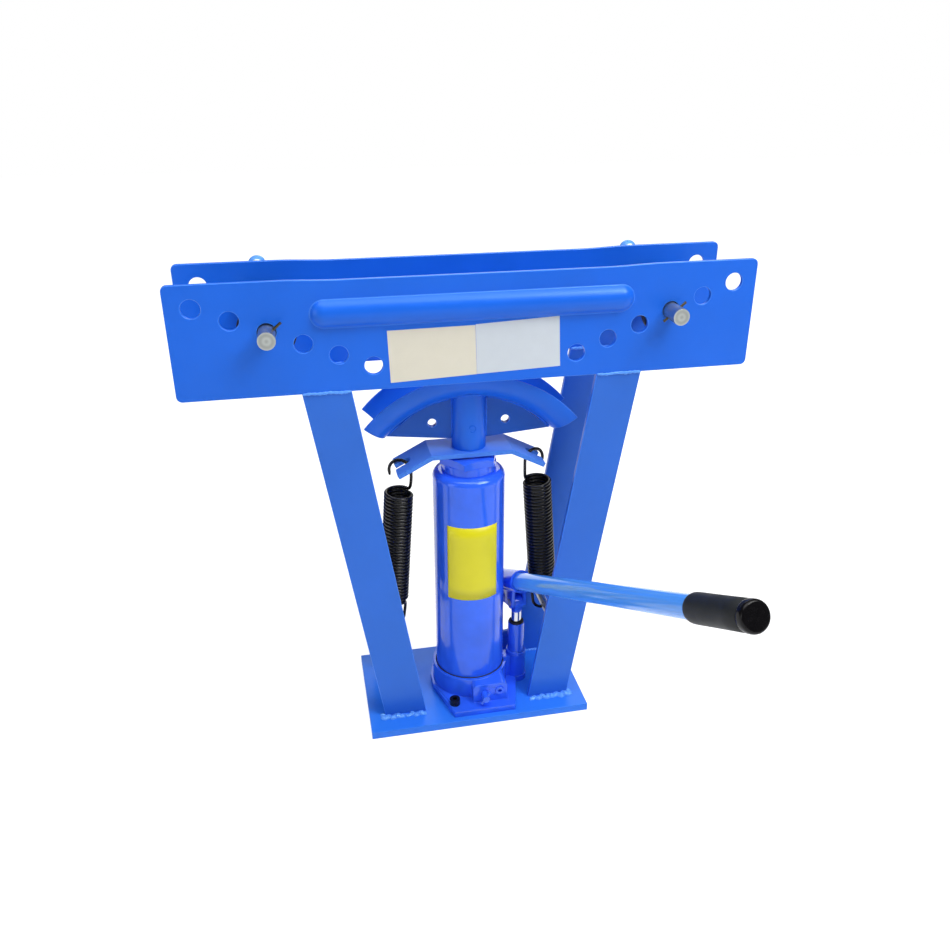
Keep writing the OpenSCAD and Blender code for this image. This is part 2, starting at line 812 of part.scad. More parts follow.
module foot_outline() {
    polygon([
        [-foot_front_left, -foot_front], [foot_front_right, -foot_front], [foot_right, -foot_side],
        [foot_right, foot_side], [foot_front_right, foot_front], [-foot_front_left, foot_front],
        [-foot_left, foot_side], [-foot_left, -foot_side]
    ]);
}

// Plan of the foot plate, with a pad that stands out under the pump boss, its arm and the link lug
module foot_plan() {
    foot_outline();
    translate([pump_x, -pump_y]) circle(d = boss_d + 2 * foot_pad);
    translate([0, -pump_y - boss_arm_w / 2 + foot_pad]) square([pump_x, boss_arm_w - 2 * foot_pad]);
    translate([pump_x, -pump_y]) rotate(pump_turn - 90)
        translate([-lever_arm - lug_r - foot_pad, -ear_out - foot_pad])
            square([2 * (lug_r + foot_pad), 2 * (ear_out + foot_pad)]);
}

// Face of the valve block with its upper corners rounded, standing on the middle of the foot plate
module valve_block_face() {
    half = valve_block_w / 2;
    h = foot_top - foot_mid + valve_block_h;
    translate([-half, 0]) square([valve_block_w, h - valve_block_r]);
    translate([-half + valve_block_r, 0]) square([valve_block_w - 2 * valve_block_r, h]);
    for (s = [-1, 1]) translate([s * (half - valve_block_r), h - valve_block_r]) circle(r = valve_block_r);
}

// Casting: plate, collar for the tank, pump boss, valve block and lug for the links
module jack_foot() {
    color(jack_blue)
        difference() {
            union() {
                translate([0, 0, base_t]) linear_extrude(foot_t) foot_plan();
                translate([0, 0, foot_mid]) cylinder(d = collar_d, h = collar_top - foot_mid);
                pump_place() translate([0, 0, foot_mid]) cylinder(d = boss_d, h = boss_top - foot_mid);
                translate([0, -pump_y - boss_arm_w / 2, foot_mid])
                    cube([pump_x, boss_arm_w, boss_top - edge_r - foot_mid]);
                translate([valve_block_x, -cylinder_d / 2, foot_mid]) rotate([90, 0, 0])
                    linear_extrude(valve_block_y - cylinder_d / 2) valve_block_face();
                pump_place() translate([-lever_arm, 0, 0]) link_lug();
            }
            translate([0, 0, tank_seat]) cylinder(d = tank_d + 2 * run_fit, h = collar_h);
            translate([0, 0, cylinder_seat]) cylinder(d = cylinder_d + 2 * run_fit, h = collar_h);
            screw_places() translate([0, 0, base_t - over])
                cylinder(d = screw_d + 2 * run_fit, h = foot_t + 2 * over);
            pump_place() {
                translate([0, 0, pump_seat]) cylinder(d = pump_d + 2 * run_fit, h = boss_h);
                translate([0, 0, oilway_z - ball_bore / 2]) cylinder(d = ball_bore, h = boss_h);
                translate([-lever_arm, 0, link_foot])
                    rod_y(lever_pin_d + 2 * run_fit, 2 * (ear_out + over));
            }
            translate([0, -pump_y, oilway_z]) rotate([0, 90, 0]) cylinder(d = oilway_d, h = pump_x);
            translate([ball_d, -pump_y, oilway_z]) cylinder(d = ball_d - edge_r, h = foot_t + over);
            valve_bore(release_x, release_z, release_d + 2 * run_fit, release_in, -1);
            valve_bore(release_x, release_z, release_way_d, cylinder_d / 2 - ball_d, -1);
            valve_bore(overload_x, overload_z, overload_d + 2 * run_fit, overload_in, 1);
        }
}

// A level bore from the front of the valve block to a depth given from the jack's middle
module valve_bore(x, z, d, depth, side) {
    front = valve_block_y + over;
    valve_place(x, z, side) translate([0, -(front + depth) / 2, 0]) rod_y(d, front - depth);
}

module valve_place(x, z, side) {
    translate([valve_block_x + side * x, 0, foot_top + z]) children();
}

module link_lug() {
    translate([-lug_r, -ear_out, foot_mid]) cube([2 * lug_r, 2 * ear_out, link_foot - foot_mid]);
    translate([0, 0, link_foot]) rod_y(2 * lug_r, 2 * ear_out);
}

module tank_profile(r, h, round) {
    square([r, h - round]);
    square([r - round, h]);
    translate([r - round, h - round]) circle(r = round);
}

module tank() {
    seal = edge_r;
    color(jack_blue)
        difference() {
            translate([0, 0, tank_seat + seal]) rotate_extrude()
                difference() {
                    tank_profile(tank_d / 2, tank_h - seal, shoulder_r);
                    translate([0, -over])
                        tank_profile(tank_d / 2 - tank_wall, tank_h - seal - tank_wall + over,
                            shoulder_r - tank_wall);
                    square([cylinder_d / 2 + run_fit, tank_h + over]);
                }
            filler_place() rod_y(plug_d + 2 * run_fit, tank_d / 2);
        }
}

module filler_place() { translate([0, tank_d / 2, tank_top - tank_d / 2]) children(); }

// Oil filler plug in the back of the tank: a shank through the wall and a round head
plug_head_h = 5;

module filler_plug() {
    color(black_rubber)
        filler_place() {
            rod_y(plug_d, 2 * (tank_wall + edge_r));
            translate([0, plug_head_h / 2 + weld_gap, 0]) rod_y(plug_d + 2 * edge_r, plug_head_h);
        }
}

module tank_seal() {
    color(black_rubber)
        translate([0, 0, tank_seat]) difference() {
            cylinder(d = tank_d, h = edge_r);
            translate([0, 0, -over]) cylinder(d = tank_d - 2 * tank_wall, h = edge_r + 2 * over);
        }
}

module pressure_cylinder() {
    color(bare_steel)
        translate([0, 0, cylinder_seat]) difference() {
            cylinder(d = cylinder_d, h = cylinder_top - cylinder_seat);
            translate([0, 0, -over]) cylinder(d = cylinder_bore, h = cylinder_top + over);
        }
}

// Height and width of the wiper ring in the nut's top
wiper_h = 4;
wiper_w = 4;
wiper_d = ram_d + 2 * wiper_w;

// Hexagon with its upper corners turned off
nut_flats = nut_w * cos(30);

module nut_hexagon() {
    rim_d = nut_flats - edge_r;
    intersection() {
        cylinder(d = nut_w, h = nut_h, $fn = 6);
        cylinder(d1 = rim_d + 2 * nut_h / tan(30), d2 = rim_d, h = nut_h);
    }
}

module gland_nut() {
    color(jack_blue)
        difference() {
            union() {
                translate([0, 0, cylinder_top]) cylinder(d = cylinder_d, h = tank_top - cylinder_top);
                translate([0, 0, tank_top]) cylinder(d = nut_flats + edge_r, h = nut_ring_h);
                translate([0, 0, tank_top + nut_ring_h]) rotate([0, 0, nut_turn]) nut_hexagon();
            }
            translate([0, 0, cylinder_top - over]) cylinder(d = ram_d + 2 * run_fit, h = tank_h);
            translate([0, 0, nut_top - wiper_h]) cylinder(d = wiper_d, h = wiper_h + over);
        }
}

module ram_wiper() {
    color(black_rubber)
        translate([0, 0, nut_top - wiper_h]) difference() {
            cylinder(d = wiper_d, h = wiper_h);
            translate([0, 0, -over]) cylinder(d = ram_d + 2 * run_fit, h = wiper_h + 2 * over);
        }
}

// Socket head screws through the foot into the base
screw_key_share = 0.75;

module hold_down_screws() {
    key_d = screw_d * screw_key_share;
    color(black_rubber)
        screw_places() difference() {
            union() {
                translate([0, 0, over]) cylinder(d = screw_d, h = foot_top);
                translate([0, 0, foot_top]) cylinder(d = screw_head_d, h = screw_d);
            }
            translate([0, 0, foot_top + screw_d / 2]) cylinder(d = key_d, h = screw_d, $fn = 6);
        }
}

// Valves

module release_valve() {
    tip = release_in + release_seat + ball_d / 2 + weld_gap;
    front = valve_block_y + release_out;
    color(jack_blue)
        valve_place(release_x, release_z, -1) {
            translate([0, -(front + tip) / 2, 0]) rod_y(release_d, front - tip);
            translate([0, -front + release_bar_d, 0]) rotate([0, release_bar_turn, 0])
                cylinder(d = release_bar_d, h = release_bar_l, center = true);
        }
}

module release_ball() {
    color(bare_steel)
        valve_place(release_x, release_z, -1)
            translate([0, -release_in - release_seat, 0]) sphere(d = ball_d);
}

module overload_screw() {
    color(jack_blue)
        valve_place(overload_x, overload_z, 1) translate([0, -overload_front, 0])
            difference() {
                translate([0, overload_l / 2, 0]) rod_y(overload_d, overload_l);
                rotate([90, 0, 0]) cylinder(d = overload_d / 2, h = overload_l, center = true, $fn = 6);
            }
}

module overload_spring_pad() {
    pad_l = overload_front - overload_l - overload_in;
    color(bare_steel)
        valve_place(overload_x, overload_z, 1) translate([0, -overload_in - pad_l / 2, 0])
            rod_y(overload_d - edge_r, pad_l);
}

// Suction ball under the pump and delivery ball in the oilway
module check_balls() {
    color(bare_steel) {
        pump_place() translate([0, 0, oilway_z]) sphere(d = ball_d);
        translate([cylinder_d / 2, -pump_y, oilway_z]) sphere(d = ball_d);
    }
}

// Pump

module pump_cylinder() {
    color(jack_blue)
        pump_place() difference() {
            union() {
                translate([0, 0, pump_seat]) cylinder(d = pump_d, h = pump_cyl_top - pump_seat);
                translate([0, 0, boss_top]) cylinder(d = boss_d, h = link_t);
            }
            translate([0, 0, pump_seat - over]) cylinder(d = plunger_d + 2 * run_fit, h = tank_h);
        }
}

module pump_wiper() {
    color(black_rubber)
        pump_place() translate([0, 0, pump_cyl_top]) difference() {
            cylinder(d = pump_d - edge_r, h = edge_r);
            translate([0, 0, -over]) cylinder(d = plunger_d + 2 * run_fit, h = edge_r + 2 * over);
        }
}

// Swing of the lever below and above its resting slope
swing_down = 33;
swing_up = 18;
// Travel of the lever's pin inside the plunger's eye, at the ends of that swing
arm = lever_arm / cos(lever_slope);
pin_back = lever_arm - arm * cos(lever_slope + swing_up);
pin_ahead = arm - lever_arm;
// Room above and below the pin in the eye
eye_play = 0.55;
head_z = plunger_pin - eye_r - edge_r;
plunger_low = pump_seat + arm * sin(swing_down) + ball_d;
plunger_seal_h = ball_d;

module eye_run(r, w) {
    for (x = [-pin_back, pin_ahead]) translate([x, 0, 0]) rod_y(2 * r, w);
    translate([-pin_back, -w / 2, -r]) cube([pin_back + pin_ahead, w, 2 * r]);
}

module plunger() {
    color(bare_steel)
        pump_place() difference() {
            union() {
                translate([0, 0, plunger_low]) cylinder(d = plunger_d, h = head_z - plunger_low);
                translate([0, 0, plunger_pin]) eye_run(eye_r, eye_w);
                translate([-plunger_d / 2, -eye_w / 2, head_z])
                    cube([plunger_d, eye_w, plunger_pin - head_z]);
            }
            translate([0, 0, plunger_pin]) eye_run(lever_pin_d / 2 + eye_play, eye_w + 2 * over);
            translate([0, 0, plunger_low + plunger_seal_h]) difference() {
                cylinder(d = plunger_d + over, h = plunger_seal_h);
                cylinder(d = plunger_d - 2 * edge_r, h = plunger_seal_h);
            }
        }
}

module plunger_seal() {
    color(black_rubber)
        pump_place() translate([0, 0, plunger_low + plunger_seal_h]) difference() {
            cylinder(d = plunger_d, h = plunger_seal_h);
            translate([0, 0, -over]) cylinder(d = plunger_d - 2 * edge_r, h = plunger_seal_h + 2 * over);
        }
}

// Two links that stand on the foot's lug and carry the lever's fulcrum
module link_plates() {
    color(bare_steel)
        pump_place() for (s = [-1, 1]) translate([-lever_arm, s * (link_in + link_out) / 2, 0])
            difference() {
                union() {
                    for (z = [link_foot, fulcrum_z]) translate([0, 0, z]) rod_y(link_w, link_t);
                    translate([-link_r, -link_t / 2, link_foot])
                        cube([link_w, link_t, fulcrum_z - link_foot]);
                }
                for (z = [link_foot, fulcrum_z])
                    translate([0, 0, z]) rod_y(lever_pin_d + 2 * run_fit, link_t + 2 * over);
            }
}

module lever_pin(x, z, half) {
    color(bare_steel) pump_place() translate([x, 0, z]) rod_y(lever_pin_d, 2 * half);
}

module link_foot_pin() { lever_pin(-lever_arm, link_foot, link_out + over); }
module fulcrum_pin() { lever_pin(-lever_arm, fulcrum_z, link_out + over); }
module plunger_pin_rod() { lever_pin(0, plunger_pin, ear_out + over); }

// Along the handle from the point above the plunger pin
module along_handle(s) {
    pump_place() translate([0, 0, handle_z]) rotate([0, 90 - handle_rise, 0])
        translate([0, 0, s]) children();
}

// Rounding of the ears about their pins, a little more than the links'
ear_r = link_r + edge_r / 2;

// Handle socket with two ears that reach down to the plunger pin and the fulcrum
module lever() {
    toward = [cos(handle_rise), sin(handle_rise)];
    top = [0, handle_z];
    pin = [0, plunger_pin];
    fulcrum = [-lever_arm, fulcrum_z];
    color(jack_blue)
        difference() {
            union() {
                along_handle(lever_socket_front - lever_socket_l)
                    cylinder(d = lever_socket_d, h = lever_socket_l);
                pump_place() for (s = [-1, 1]) translate([0, s * (ear_in + ear_out) / 2 + ear_t / 2, 0])
                    rotate([90, 0, 0]) linear_extrude(ear_t) {
                        for (p = [pin, fulcrum]) translate(p) circle(r = ear_r);
                        polygon([
                            pin + [ear_r, 0],
                            top + (lever_socket_front - ear_in) * toward,
                            top + (lever_socket_front - lever_socket_l + ear_in) * toward,
                            fulcrum - [ear_r, 0]
                        ]);
                        translate(fulcrum) rotate(lever_slope) translate([0, edge_r - ear_r])
                            square([arm, ear_r - edge_r]);
                    }
            }
            along_handle(lever_socket_front - handle_in - lie_gap)
                cylinder(d = socket_bore_d, h = lever_socket_l);
            pump_place() for (p = [pin, fulcrum])
                translate([p.x, 0, p.y]) rod_y(lever_pin_d + 2 * run_fit, 2 * (ear_out + over));
        }
}

handle_foot = lever_socket_front - handle_in;
handle_tip = handle_foot + handle_l;

module handle_tube() {
    color(frame_blue)
        along_handle(handle_foot) difference() {
            cylinder(d = handle_d, h = handle_l);
            translate([0, 0, -over]) cylinder(d = handle_d - 2 * handle_wall, h = handle_l + 2 * over);
        }
}

module handle_grip() {
    round = grip_end;
    color(black_rubber)
        along_handle(handle_tip + grip_end - grip_l) difference() {
            rotate_extrude() tank_profile(grip_d / 2, grip_l, round);
            translate([0, 0, -over]) cylinder(d = handle_d, h = grip_l - grip_end + over);
        }
}

base_plate();
front_side_plate();
rear_side_plate();
front_left_leg();
front_right_leg();
rear_left_leg();
rear_right_leg();
left_spring_rod();
right_spring_rod();
left_spring();
right_spring();
left_roller();
right_roller();
left_roller_pin();
right_roller_pin();
left_cotter();
right_cotter();
die_channel();
die_left_web();
die_right_web();
die_socket();
ram();
ram_piston();
ram_seal();
ram_wiper();
yoke();
jack_foot();
tank();
pressure_cylinder();
gland_nut();
tank_seal();
filler_plug();
hold_down_screws();
release_valve();
release_ball();
overload_screw();
overload_spring_pad();
check_balls();
pump_cylinder();
pump_wiper();
plunger();
plunger_seal();
link_plates();
link_foot_pin();
fulcrum_pin();
plunger_pin_rod();
lever();
handle_tube();
handle_grip();
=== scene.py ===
"""Looks of a hydraulic pipe bender: paint, steel, springs, welds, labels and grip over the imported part."""

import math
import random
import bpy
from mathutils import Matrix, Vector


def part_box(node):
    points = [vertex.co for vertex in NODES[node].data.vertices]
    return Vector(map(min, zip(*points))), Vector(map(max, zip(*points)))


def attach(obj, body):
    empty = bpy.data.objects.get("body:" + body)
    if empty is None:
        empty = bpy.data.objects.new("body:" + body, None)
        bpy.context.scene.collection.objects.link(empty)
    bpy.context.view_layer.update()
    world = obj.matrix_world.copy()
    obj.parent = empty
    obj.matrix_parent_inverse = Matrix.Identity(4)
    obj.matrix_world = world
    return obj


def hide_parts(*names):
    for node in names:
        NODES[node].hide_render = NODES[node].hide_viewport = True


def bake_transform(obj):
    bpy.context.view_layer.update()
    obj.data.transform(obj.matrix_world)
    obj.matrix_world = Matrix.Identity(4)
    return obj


bl_info = {
    "name": "Hydraulic Pipe Bender",
    "version": (1, 0, 0),
    "blender": (4, 5, 0),
    "location": "View3D > Sidebar > Bender",
    "description": "Finishes the packed parts of a hydraulic pipe bender and sets its studio",
    "category": "Object",
}

import bpy
from mathutils import Euler, Vector

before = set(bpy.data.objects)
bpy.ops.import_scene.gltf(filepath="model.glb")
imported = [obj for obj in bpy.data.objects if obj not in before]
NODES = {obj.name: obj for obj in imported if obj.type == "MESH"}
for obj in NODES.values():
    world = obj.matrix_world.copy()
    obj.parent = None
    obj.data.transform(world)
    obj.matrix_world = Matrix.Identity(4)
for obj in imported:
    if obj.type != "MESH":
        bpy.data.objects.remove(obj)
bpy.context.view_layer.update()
MM = 0.001

# the jack, in millimetres as all places below
TANK_R = 43.25
FOOT_RIM_H = 35
SEAL_RING_R = 43.75
SEAL_RING_T = 1.5
# lengths that stay unpainted: the roller pins behind the rear plate and the plunger over its wiper
PIN_BARE_L = 6
PLUNGER_BARE_L = 15

# the handle: a point of its middle line over the plunger pin, how far its grip reaches from there, and the
# handle's turn to the right and rise in degrees
HANDLE_AT = (60.5, -5, 157)
HANDLE_REACH = 487.5
HANDLE_TURN = 10
HANDLE_RISE = 26.9

# the right spring's ends at the cross rod and the yoke, and between which places it stretches
SPRING_LOW = (98, 0, 110.8)
SPRING_HIGH = (81, 0, 333.26)
# how far a hook is bent round, and how far the upper one is turned about the coil, in degrees
HOOK_SWEEP = 195
UPPER_HOOK_TURN = 24
# points of a hook and of its bend into the coil
HOOK_POINTS = 36
WIRE_SIDES = 12

# the legs' welds: middles of foot and head, the outer face, and depth and height of the other beads
FOOT_X = 92
HEAD_X = 159.6
LEG_FACE = 51.5
FOOT_BACK = (45, 10.4)
HEAD_FRONT = (51.3, 441.9)
HEAD_BACK = (46.3, 442)
BEAD_REACH = (-25, -12, 0, 12, 25)
ROD_END = (98, 45.2, 118)
ROD_WELD_R = 5.6
# the foot welds' weave: its start, pace and points along the foot, its middle and how far it swings
WEAVE_START = -25
WEAVE_PACE = 2.2
WEAVE_POINTS = 25
WEAVE_OUT = 3.9
WEAVE_UP = 8.2
SWING_OUT = 1.3
SWING_UP = 0.3

# the die: centre and radius of its bend, its trough, its welds, and its turn on the ram in degrees
BEND_Z = 284.2
BEND_R = 159
TROUGH_R = 32.8
WEB_FACE = 4.3
WEB_TOP_R = 125.9
WEB_START = 9.6
WEB_SWEEP = 39
SOCKET_SIDE = (19.9, 4.2)
SOCKET_HEIGHTS = (361, 373, 385, 396, 408)
CROWN_R = 20.3
CROWN_HALF = 62
SPOT_AT = (2, -19.9, 375.7)
SPOT_AXIS = (0.1, -0.995, 0)
SPOT_R = 3.8
SPOT_BEAD = 1.9
SPOT_SEED = 7
DIE_TURN = -2.8

# spacing of the ripples in the weld beads
RIPPLE = 4.2
FOOT_RIPPLE = 6.5
HEAD_RIPPLE = 5.5
SPOT_RIPPLE = 2.4

# the front labels' corners, across and up, and the tank label's start and sweep in degrees, foot and height
CREAM_CORNERS = ((-94.5, 504.7), (-2.0, 505.6), (-0.4, 451.8), (-92.7, 448.4))
PALE_CORNERS = ((-1.7, 506.3), (88.9, 510.3), (91.6, 454.9), (-0.2, 451.9))
TANK_LABEL_START = -47.5
TANK_LABEL_SWEEP = 86
TANK_LABEL_Z = 161
TANK_LABEL_H = 99

# the grip's outline: radius and height at its mouth, then depth under its full radius and height
GRIP_MOUTH = ((11.32, 4), (11.35, 0.8), (11.7, 0.15), (12.3, 0.25), (12.9, 0.9), (13.3, 2.0), (13.55, 3.6))
GRIP_SLEEVE = ((0.12, 6.4), (0.08, 12), (0.2, 30))
# from here on heights count down from the grip's end
GRIP_SHOULDER = ((0.2, 28), (0.15, 9.2), (0.5, 8.9), (1.6, 8.8))
CAP_EDGE = (
    (1.6, 8.6), (0.4, 8.5), (0.1, 8.1), (0, 7.2), (0, 3.6), (0.3, 1.9), (1.0, 0.7), (1.9, 0.1), (2.6, 0),
)
CAP_FACE = ((8, 0), (5, 0.05), (0.2, 0.1))
GRIP_SEGMENTS = 72

# a noise texture's values lie mostly between these, and a wave texture repeats after this much
NOISE_SPAN = {"From Min": 0.3, "From Max": 0.7}
WAVE_SPAN = math.pi / 10


def linear(code):
    """Linear colour of an sRGB hex value."""
    parts = [int(code[i:i + 2], 16) / 255 for i in (1, 3, 5)]
    return tuple(p / 12.92 if p <= 0.04045 else ((p + 0.055) / 1.055) ** 2.4 for p in parts) + (1.0,)


def colour(name, description, code):
    """A colour property with a default given in sRGB hex."""
    return bpy.props.FloatVectorProperty(
        name=name, description=description, subtype="COLOR", size=4, min=0, max=1, default=linear(code)
    )


def length(name, description, millimetres):
    """A length property with a default given in millimetres."""
    return bpy.props.FloatProperty(
        name=name, description=description, unit="LENGTH", min=0, default=millimetres * MM, precision=5
    )


def power(name, description, watts):
    """A power property with a default given in watts."""
    return bpy.props.FloatProperty(name=name, description=description, unit="POWER", min=0, default=watts)


# tint of the paints' shine
SKY = linear("#bce7ff")


class BenderColours(bpy.types.PropertyGroup):
    """Colours of the bender's finishes."""

    frame_blue: colour("Frame blue", "Powder coat on the side plates and the die", "#1a68e6")
    # a paler blue for rounded edges: a painted highlight along them
    edge_highlight_blue: colour("Edge blue", "Powder coat where it lies thin over edges", "#3f82f2")
    # greyer than the frame blue: a painted reflection of the bright room on the legs
    leg_reflection_blue: colour("Leg blue", "Powder coat on the legs", "#2d6ad6")
    # lighter than the frame blue: painted light for the top lamp on the base
    base_lit_blue: colour("Base blue", "Powder coat on the base", "#2d7bf2")
    # darker than the frame blue: painted shade under the trough and the side plates
    web_shaded_blue: colour("Web blue", "Powder coat on the die's webs", "#1456c0")
    # paler than the frame blue: painted light for the sky on the yoke's upper faces
    yoke_lit_blue: colour("Yoke blue", "Dull powder coat on the yoke", "#4a86ee")
    jack_blue: colour("Jack blue", "Enamel on the jack", "#3068fa")
    # paler than the jack's enamel: its own colour and a painted reflection of the room along the tube
    handle_paint_and_reflection_blue: colour("Handle blue", "Enamel on the pump handle", "#519fff")
    # paler than the frame blue: a painted highlight on the beads
    weld_highlight_blue: colour("Weld blue", "Powder coat over the weld beads", "#5c9dfb")
    # blue paint drawn pale: its own colour and a painted highlight on the lit tops of the pins' ends
    pin_end_paint_and_highlight_blue: colour("Pin grip blue", "Paint on the bent ends of the roller pins", "#5a9ef5")
    zinc: colour("Zinc", "Zinc plate on rods and links", "#b9bcc0")
    pin_zinc: colour("Pin zinc", "Dull zinc plate on the roller pins", "#b2b7b4")
    chrome: colour("Chrome", "Hard chrome on the ram and the plunger", "#cfd2d6")
    roller_steel: colour("Roller steel", "Phosphated steel of the rollers", "#2b2d31")
    cotter_yellow: colour("Cotter yellow", "Yellow passivated cotters", "#5e5844")
    wire_black: colour("Wire black", "Blackened spring wire and screws", "#0e0e10")
    nitrile_black: colour("Nitrile black", "Seals, wipers and the filler plug", "#18181a")
    grip_black: colour("Grip black", "Rubber of the handle's grip", "#15191c")
    cap_black: colour("Cap black", "Plastic cap on the grip's end", "#09080b")
    label_cream: colour("Cream label", "Left label on the front plate", "#e4dfcd")
    label_grey: colour("Pale label", "Right label on the front plate", "#d3dbe2")
    label_yellow: colour("Yellow label", "Label on the jack's tank", "#e2da12")


class BenderSizes(bpy.types.PropertyGroup):
    """Sizes of the bender's edges and added pieces."""

    plate_round: length("Plate rounding", "Rounding of the side plates' edges", 0.8)
    bar_round: length("Bar rounding", "Rounding of the base's, legs', yoke's and die's edges", 0.7)
    cast_round: length("Casting rounding", "Rounding of the jack casting's edges", 0.5)
    turned_round: length("Turned rounding", "Rounding of turned and cut steel", 0.8)
    seal_round: length("Seal rounding", "Rounding of the seals and wipers", 0.3)
    wire_d: length("Spring wire", "Diameter of the return springs' wire", 3.8)
    coil_d: length("Spring diameter", "Return springs' outer diameter", 34.5)
    turn_gap: length("Turn gap", "Gap between a spring's turns", 0.8)
    spring_turns: bpy.props.IntProperty(
        name="Spring turns", description="Close turns of a return spring", min=4, max=60, default=32
    )
    foot_bead: length("Foot weld", "Width of the welds at the legs' feet", 9.4)
    head_bead: length("Head weld", "Width of the welds at the side plates", 3.8)
    die_bead: length("Die weld", "Width of the welds in the die and at the cross rods", 2.6)
    film_t: length("Label film", "Thickness of the labels", 0.18)
    grip_d: length("Grip diameter", "Outer diameter of the grip", 27.5)
    grip_l: length("Grip length", "Length of the grip", 83.5)


class BenderStage(bpy.types.PropertyGroup):
    """Camera, lamps and floor."""

    lens: bpy.props.FloatProperty(
        name="Lens", description="Focal length on a 36 mm sensor", subtype="DISTANCE_CAMERA", default=33.795
    )
    camera_at: bpy.props.FloatVectorProperty(
        name="Camera place", description="Where the camera stands", subtype="TRANSLATION",
        default=(-0.18236, -0.94062, 0.75948), precision=5
    )
    camera_turn: bpy.props.FloatVectorProperty(
        name="Camera turn", description="How the camera is turned", subtype="EULER",
        default=(math.radians(64.813), math.radians(0.111), math.radians(-11.4715)), precision=5
    )
    key: power("Key lamp", "Lamp on the left", 7)
    fill: power("Fill lamp", "Lamp in front on the right", 31)
    top: power("Top lamp", "Lamp above", 35)
    back: power("Back lamp", "Lamp behind", 10)
    room: bpy.props.FloatProperty(
        name="Room light", description="Light from all sides", min=0, default=0.16
    )
    floor: colour("Floor", "Pale studio floor", "#fbfbfc")


def add_node(tree, kind, inputs=None, **settings):
    """One node with its settings; an input takes a value or another node's output."""
    made = tree.nodes.new(kind)
    for name, value in settings.items():
        setattr(made, name, value)
    for name, value in (inputs or {}).items():
        if isinstance(value, bpy.types.NodeSocket):
            tree.links.new(value, made.inputs[name])
        else:
            made.inputs[name].default_value = value
    return made


def start_material(name, base, metallic, roughness):
    """An empty material with one shader, and where on the object it is."""
    made = bpy.data.materials.new(name)
    made.use_nodes = True
    tree = made.node_tree
    tree.nodes.clear()
    shader = add_node(
        tree, "ShaderNodeBsdfPrincipled", {"Base Color": base, "Metallic": metallic, "Roughness": roughness}
    )
    add_node(tree, "ShaderNodeOutputMaterial", {"Surface": shader.outputs["BSDF"]})
    where = add_node(tree, "ShaderNodeTexCoord").outputs["Object"]
    made.diffuse_color = tuple(base)
    return made, tree, shader, where


def powder_coat(name, base, low=0.28, high=0.37):
    """Polyester powder coat, baked on steel: soft gloss, sky blue in its shine, a faint orange peel."""
    made, tree, shader, where = start_material(name, base, 0.0, 0.3)
    shader.inputs["Specular Tint"].default_value = SKY
    # clouds about 80 mm across, where the coat lies thicker or thinner
    cloud = add_node(tree, "ShaderNodeTexNoise", {"Vector": where, "Scale": 1 / (80 * MM), "Detail": 3.0})
    depth = add_node(
        tree, "ShaderNodeMapRange",
        {"Value": cloud.outputs["Fac"], **NOISE_SPAN, "To Min": 0.95, "To Max": 1.04}
    )
    tone = add_node(tree, "ShaderNodeHueSaturation", {"Color": base, "Value": depth.outputs["Result"]})
    tree.links.new(tone.outputs["Color"], shader.inputs["Base Color"])
    # handling marks about 20 mm across change the gloss
    rub = add_node(tree, "ShaderNodeTexNoise", {"Vector": where, "Scale": 1 / (20 * MM), "Detail": 4.0})
    gloss = add_node(
        tree, "ShaderNodeMapRange",
        {"Value": rub.outputs["Fac"], **NOISE_SPAN, "To Min": low, "To Max": high}
    )
    tree.links.new(gloss.outputs["Result"], shader.inputs["Roughness"])
    # orange peel is 1 to 2 mm wide, drawn at 4 mm so that it shows
    peel = add_node(tree, "ShaderNodeTexNoise", {"Vector": where, "Scale": 1 / (4 * MM), "Detail": 1.0})
    bump = add_node(
        tree, "ShaderNodeBump", {"Strength": 0.16, "Distance": 0.1 * MM, "Height": peel.outputs["Fac"]}
    )
    tree.links.new(bump.outputs["Normal"], shader.inputs["Normal"])
    return made


def jack_enamel(base):
    """Alkyd enamel, sprayed wet on castings and tube: deep gloss with slow runs and an uneven depth."""
    made, tree, shader, where = start_material("gloss_alkyd_enamel", base, 0.0, 0.14)
    shader.inputs["Specular Tint"].default_value = SKY
    shader.inputs["Coat Weight"].default_value = 0.35
    shader.inputs["Coat Roughness"].default_value = 0.05
    # runs about 12 mm wide and three times as long
    runs = add_node(tree, "ShaderNodeMapping", {"Vector": where, "Scale": (1.0, 1.0, 0.33)})
    flow = add_node(
        tree, "ShaderNodeTexNoise",
        {"Vector": runs.outputs["Vector"], "Scale": 1 / (12 * MM), "Detail": 1.0}
    )
    # the wet coat lies uneven over about 40 mm
    cloud = add_node(tree, "ShaderNodeTexNoise", {"Vector": where, "Scale": 1 / (40 * MM), "Detail": 3.0})
    depth = add_node(
        tree, "ShaderNodeMapRange",
        {"Value": cloud.outputs["Fac"], **NOISE_SPAN, "To Min": 0.9, "To Max": 1.08}
    )
    tone = add_node(tree, "ShaderNodeHueSaturation", {"Color": base, "Value": depth.outputs["Result"]})
    tree.links.new(tone.outputs["Color"], shader.inputs["Base Color"])
    gloss = add_node(
        tree, "ShaderNodeMapRange",
        {"Value": cloud.outputs["Fac"], **NOISE_SPAN, "To Min": 0.11, "To Max": 0.2}
    )
    tree.links.new(gloss.outputs["Result"], shader.inputs["Roughness"])
    bump = add_node(
        tree, "ShaderNodeBump", {"Strength": 0.25, "Distance": 0.25 * MM, "Height": flow.outputs["Fac"]}
    )
    tree.links.new(bump.outputs["Normal"], shader.inputs["Normal"])
    tree.links.new(bump.outputs["Normal"], shader.inputs["Coat Normal"])
    return made


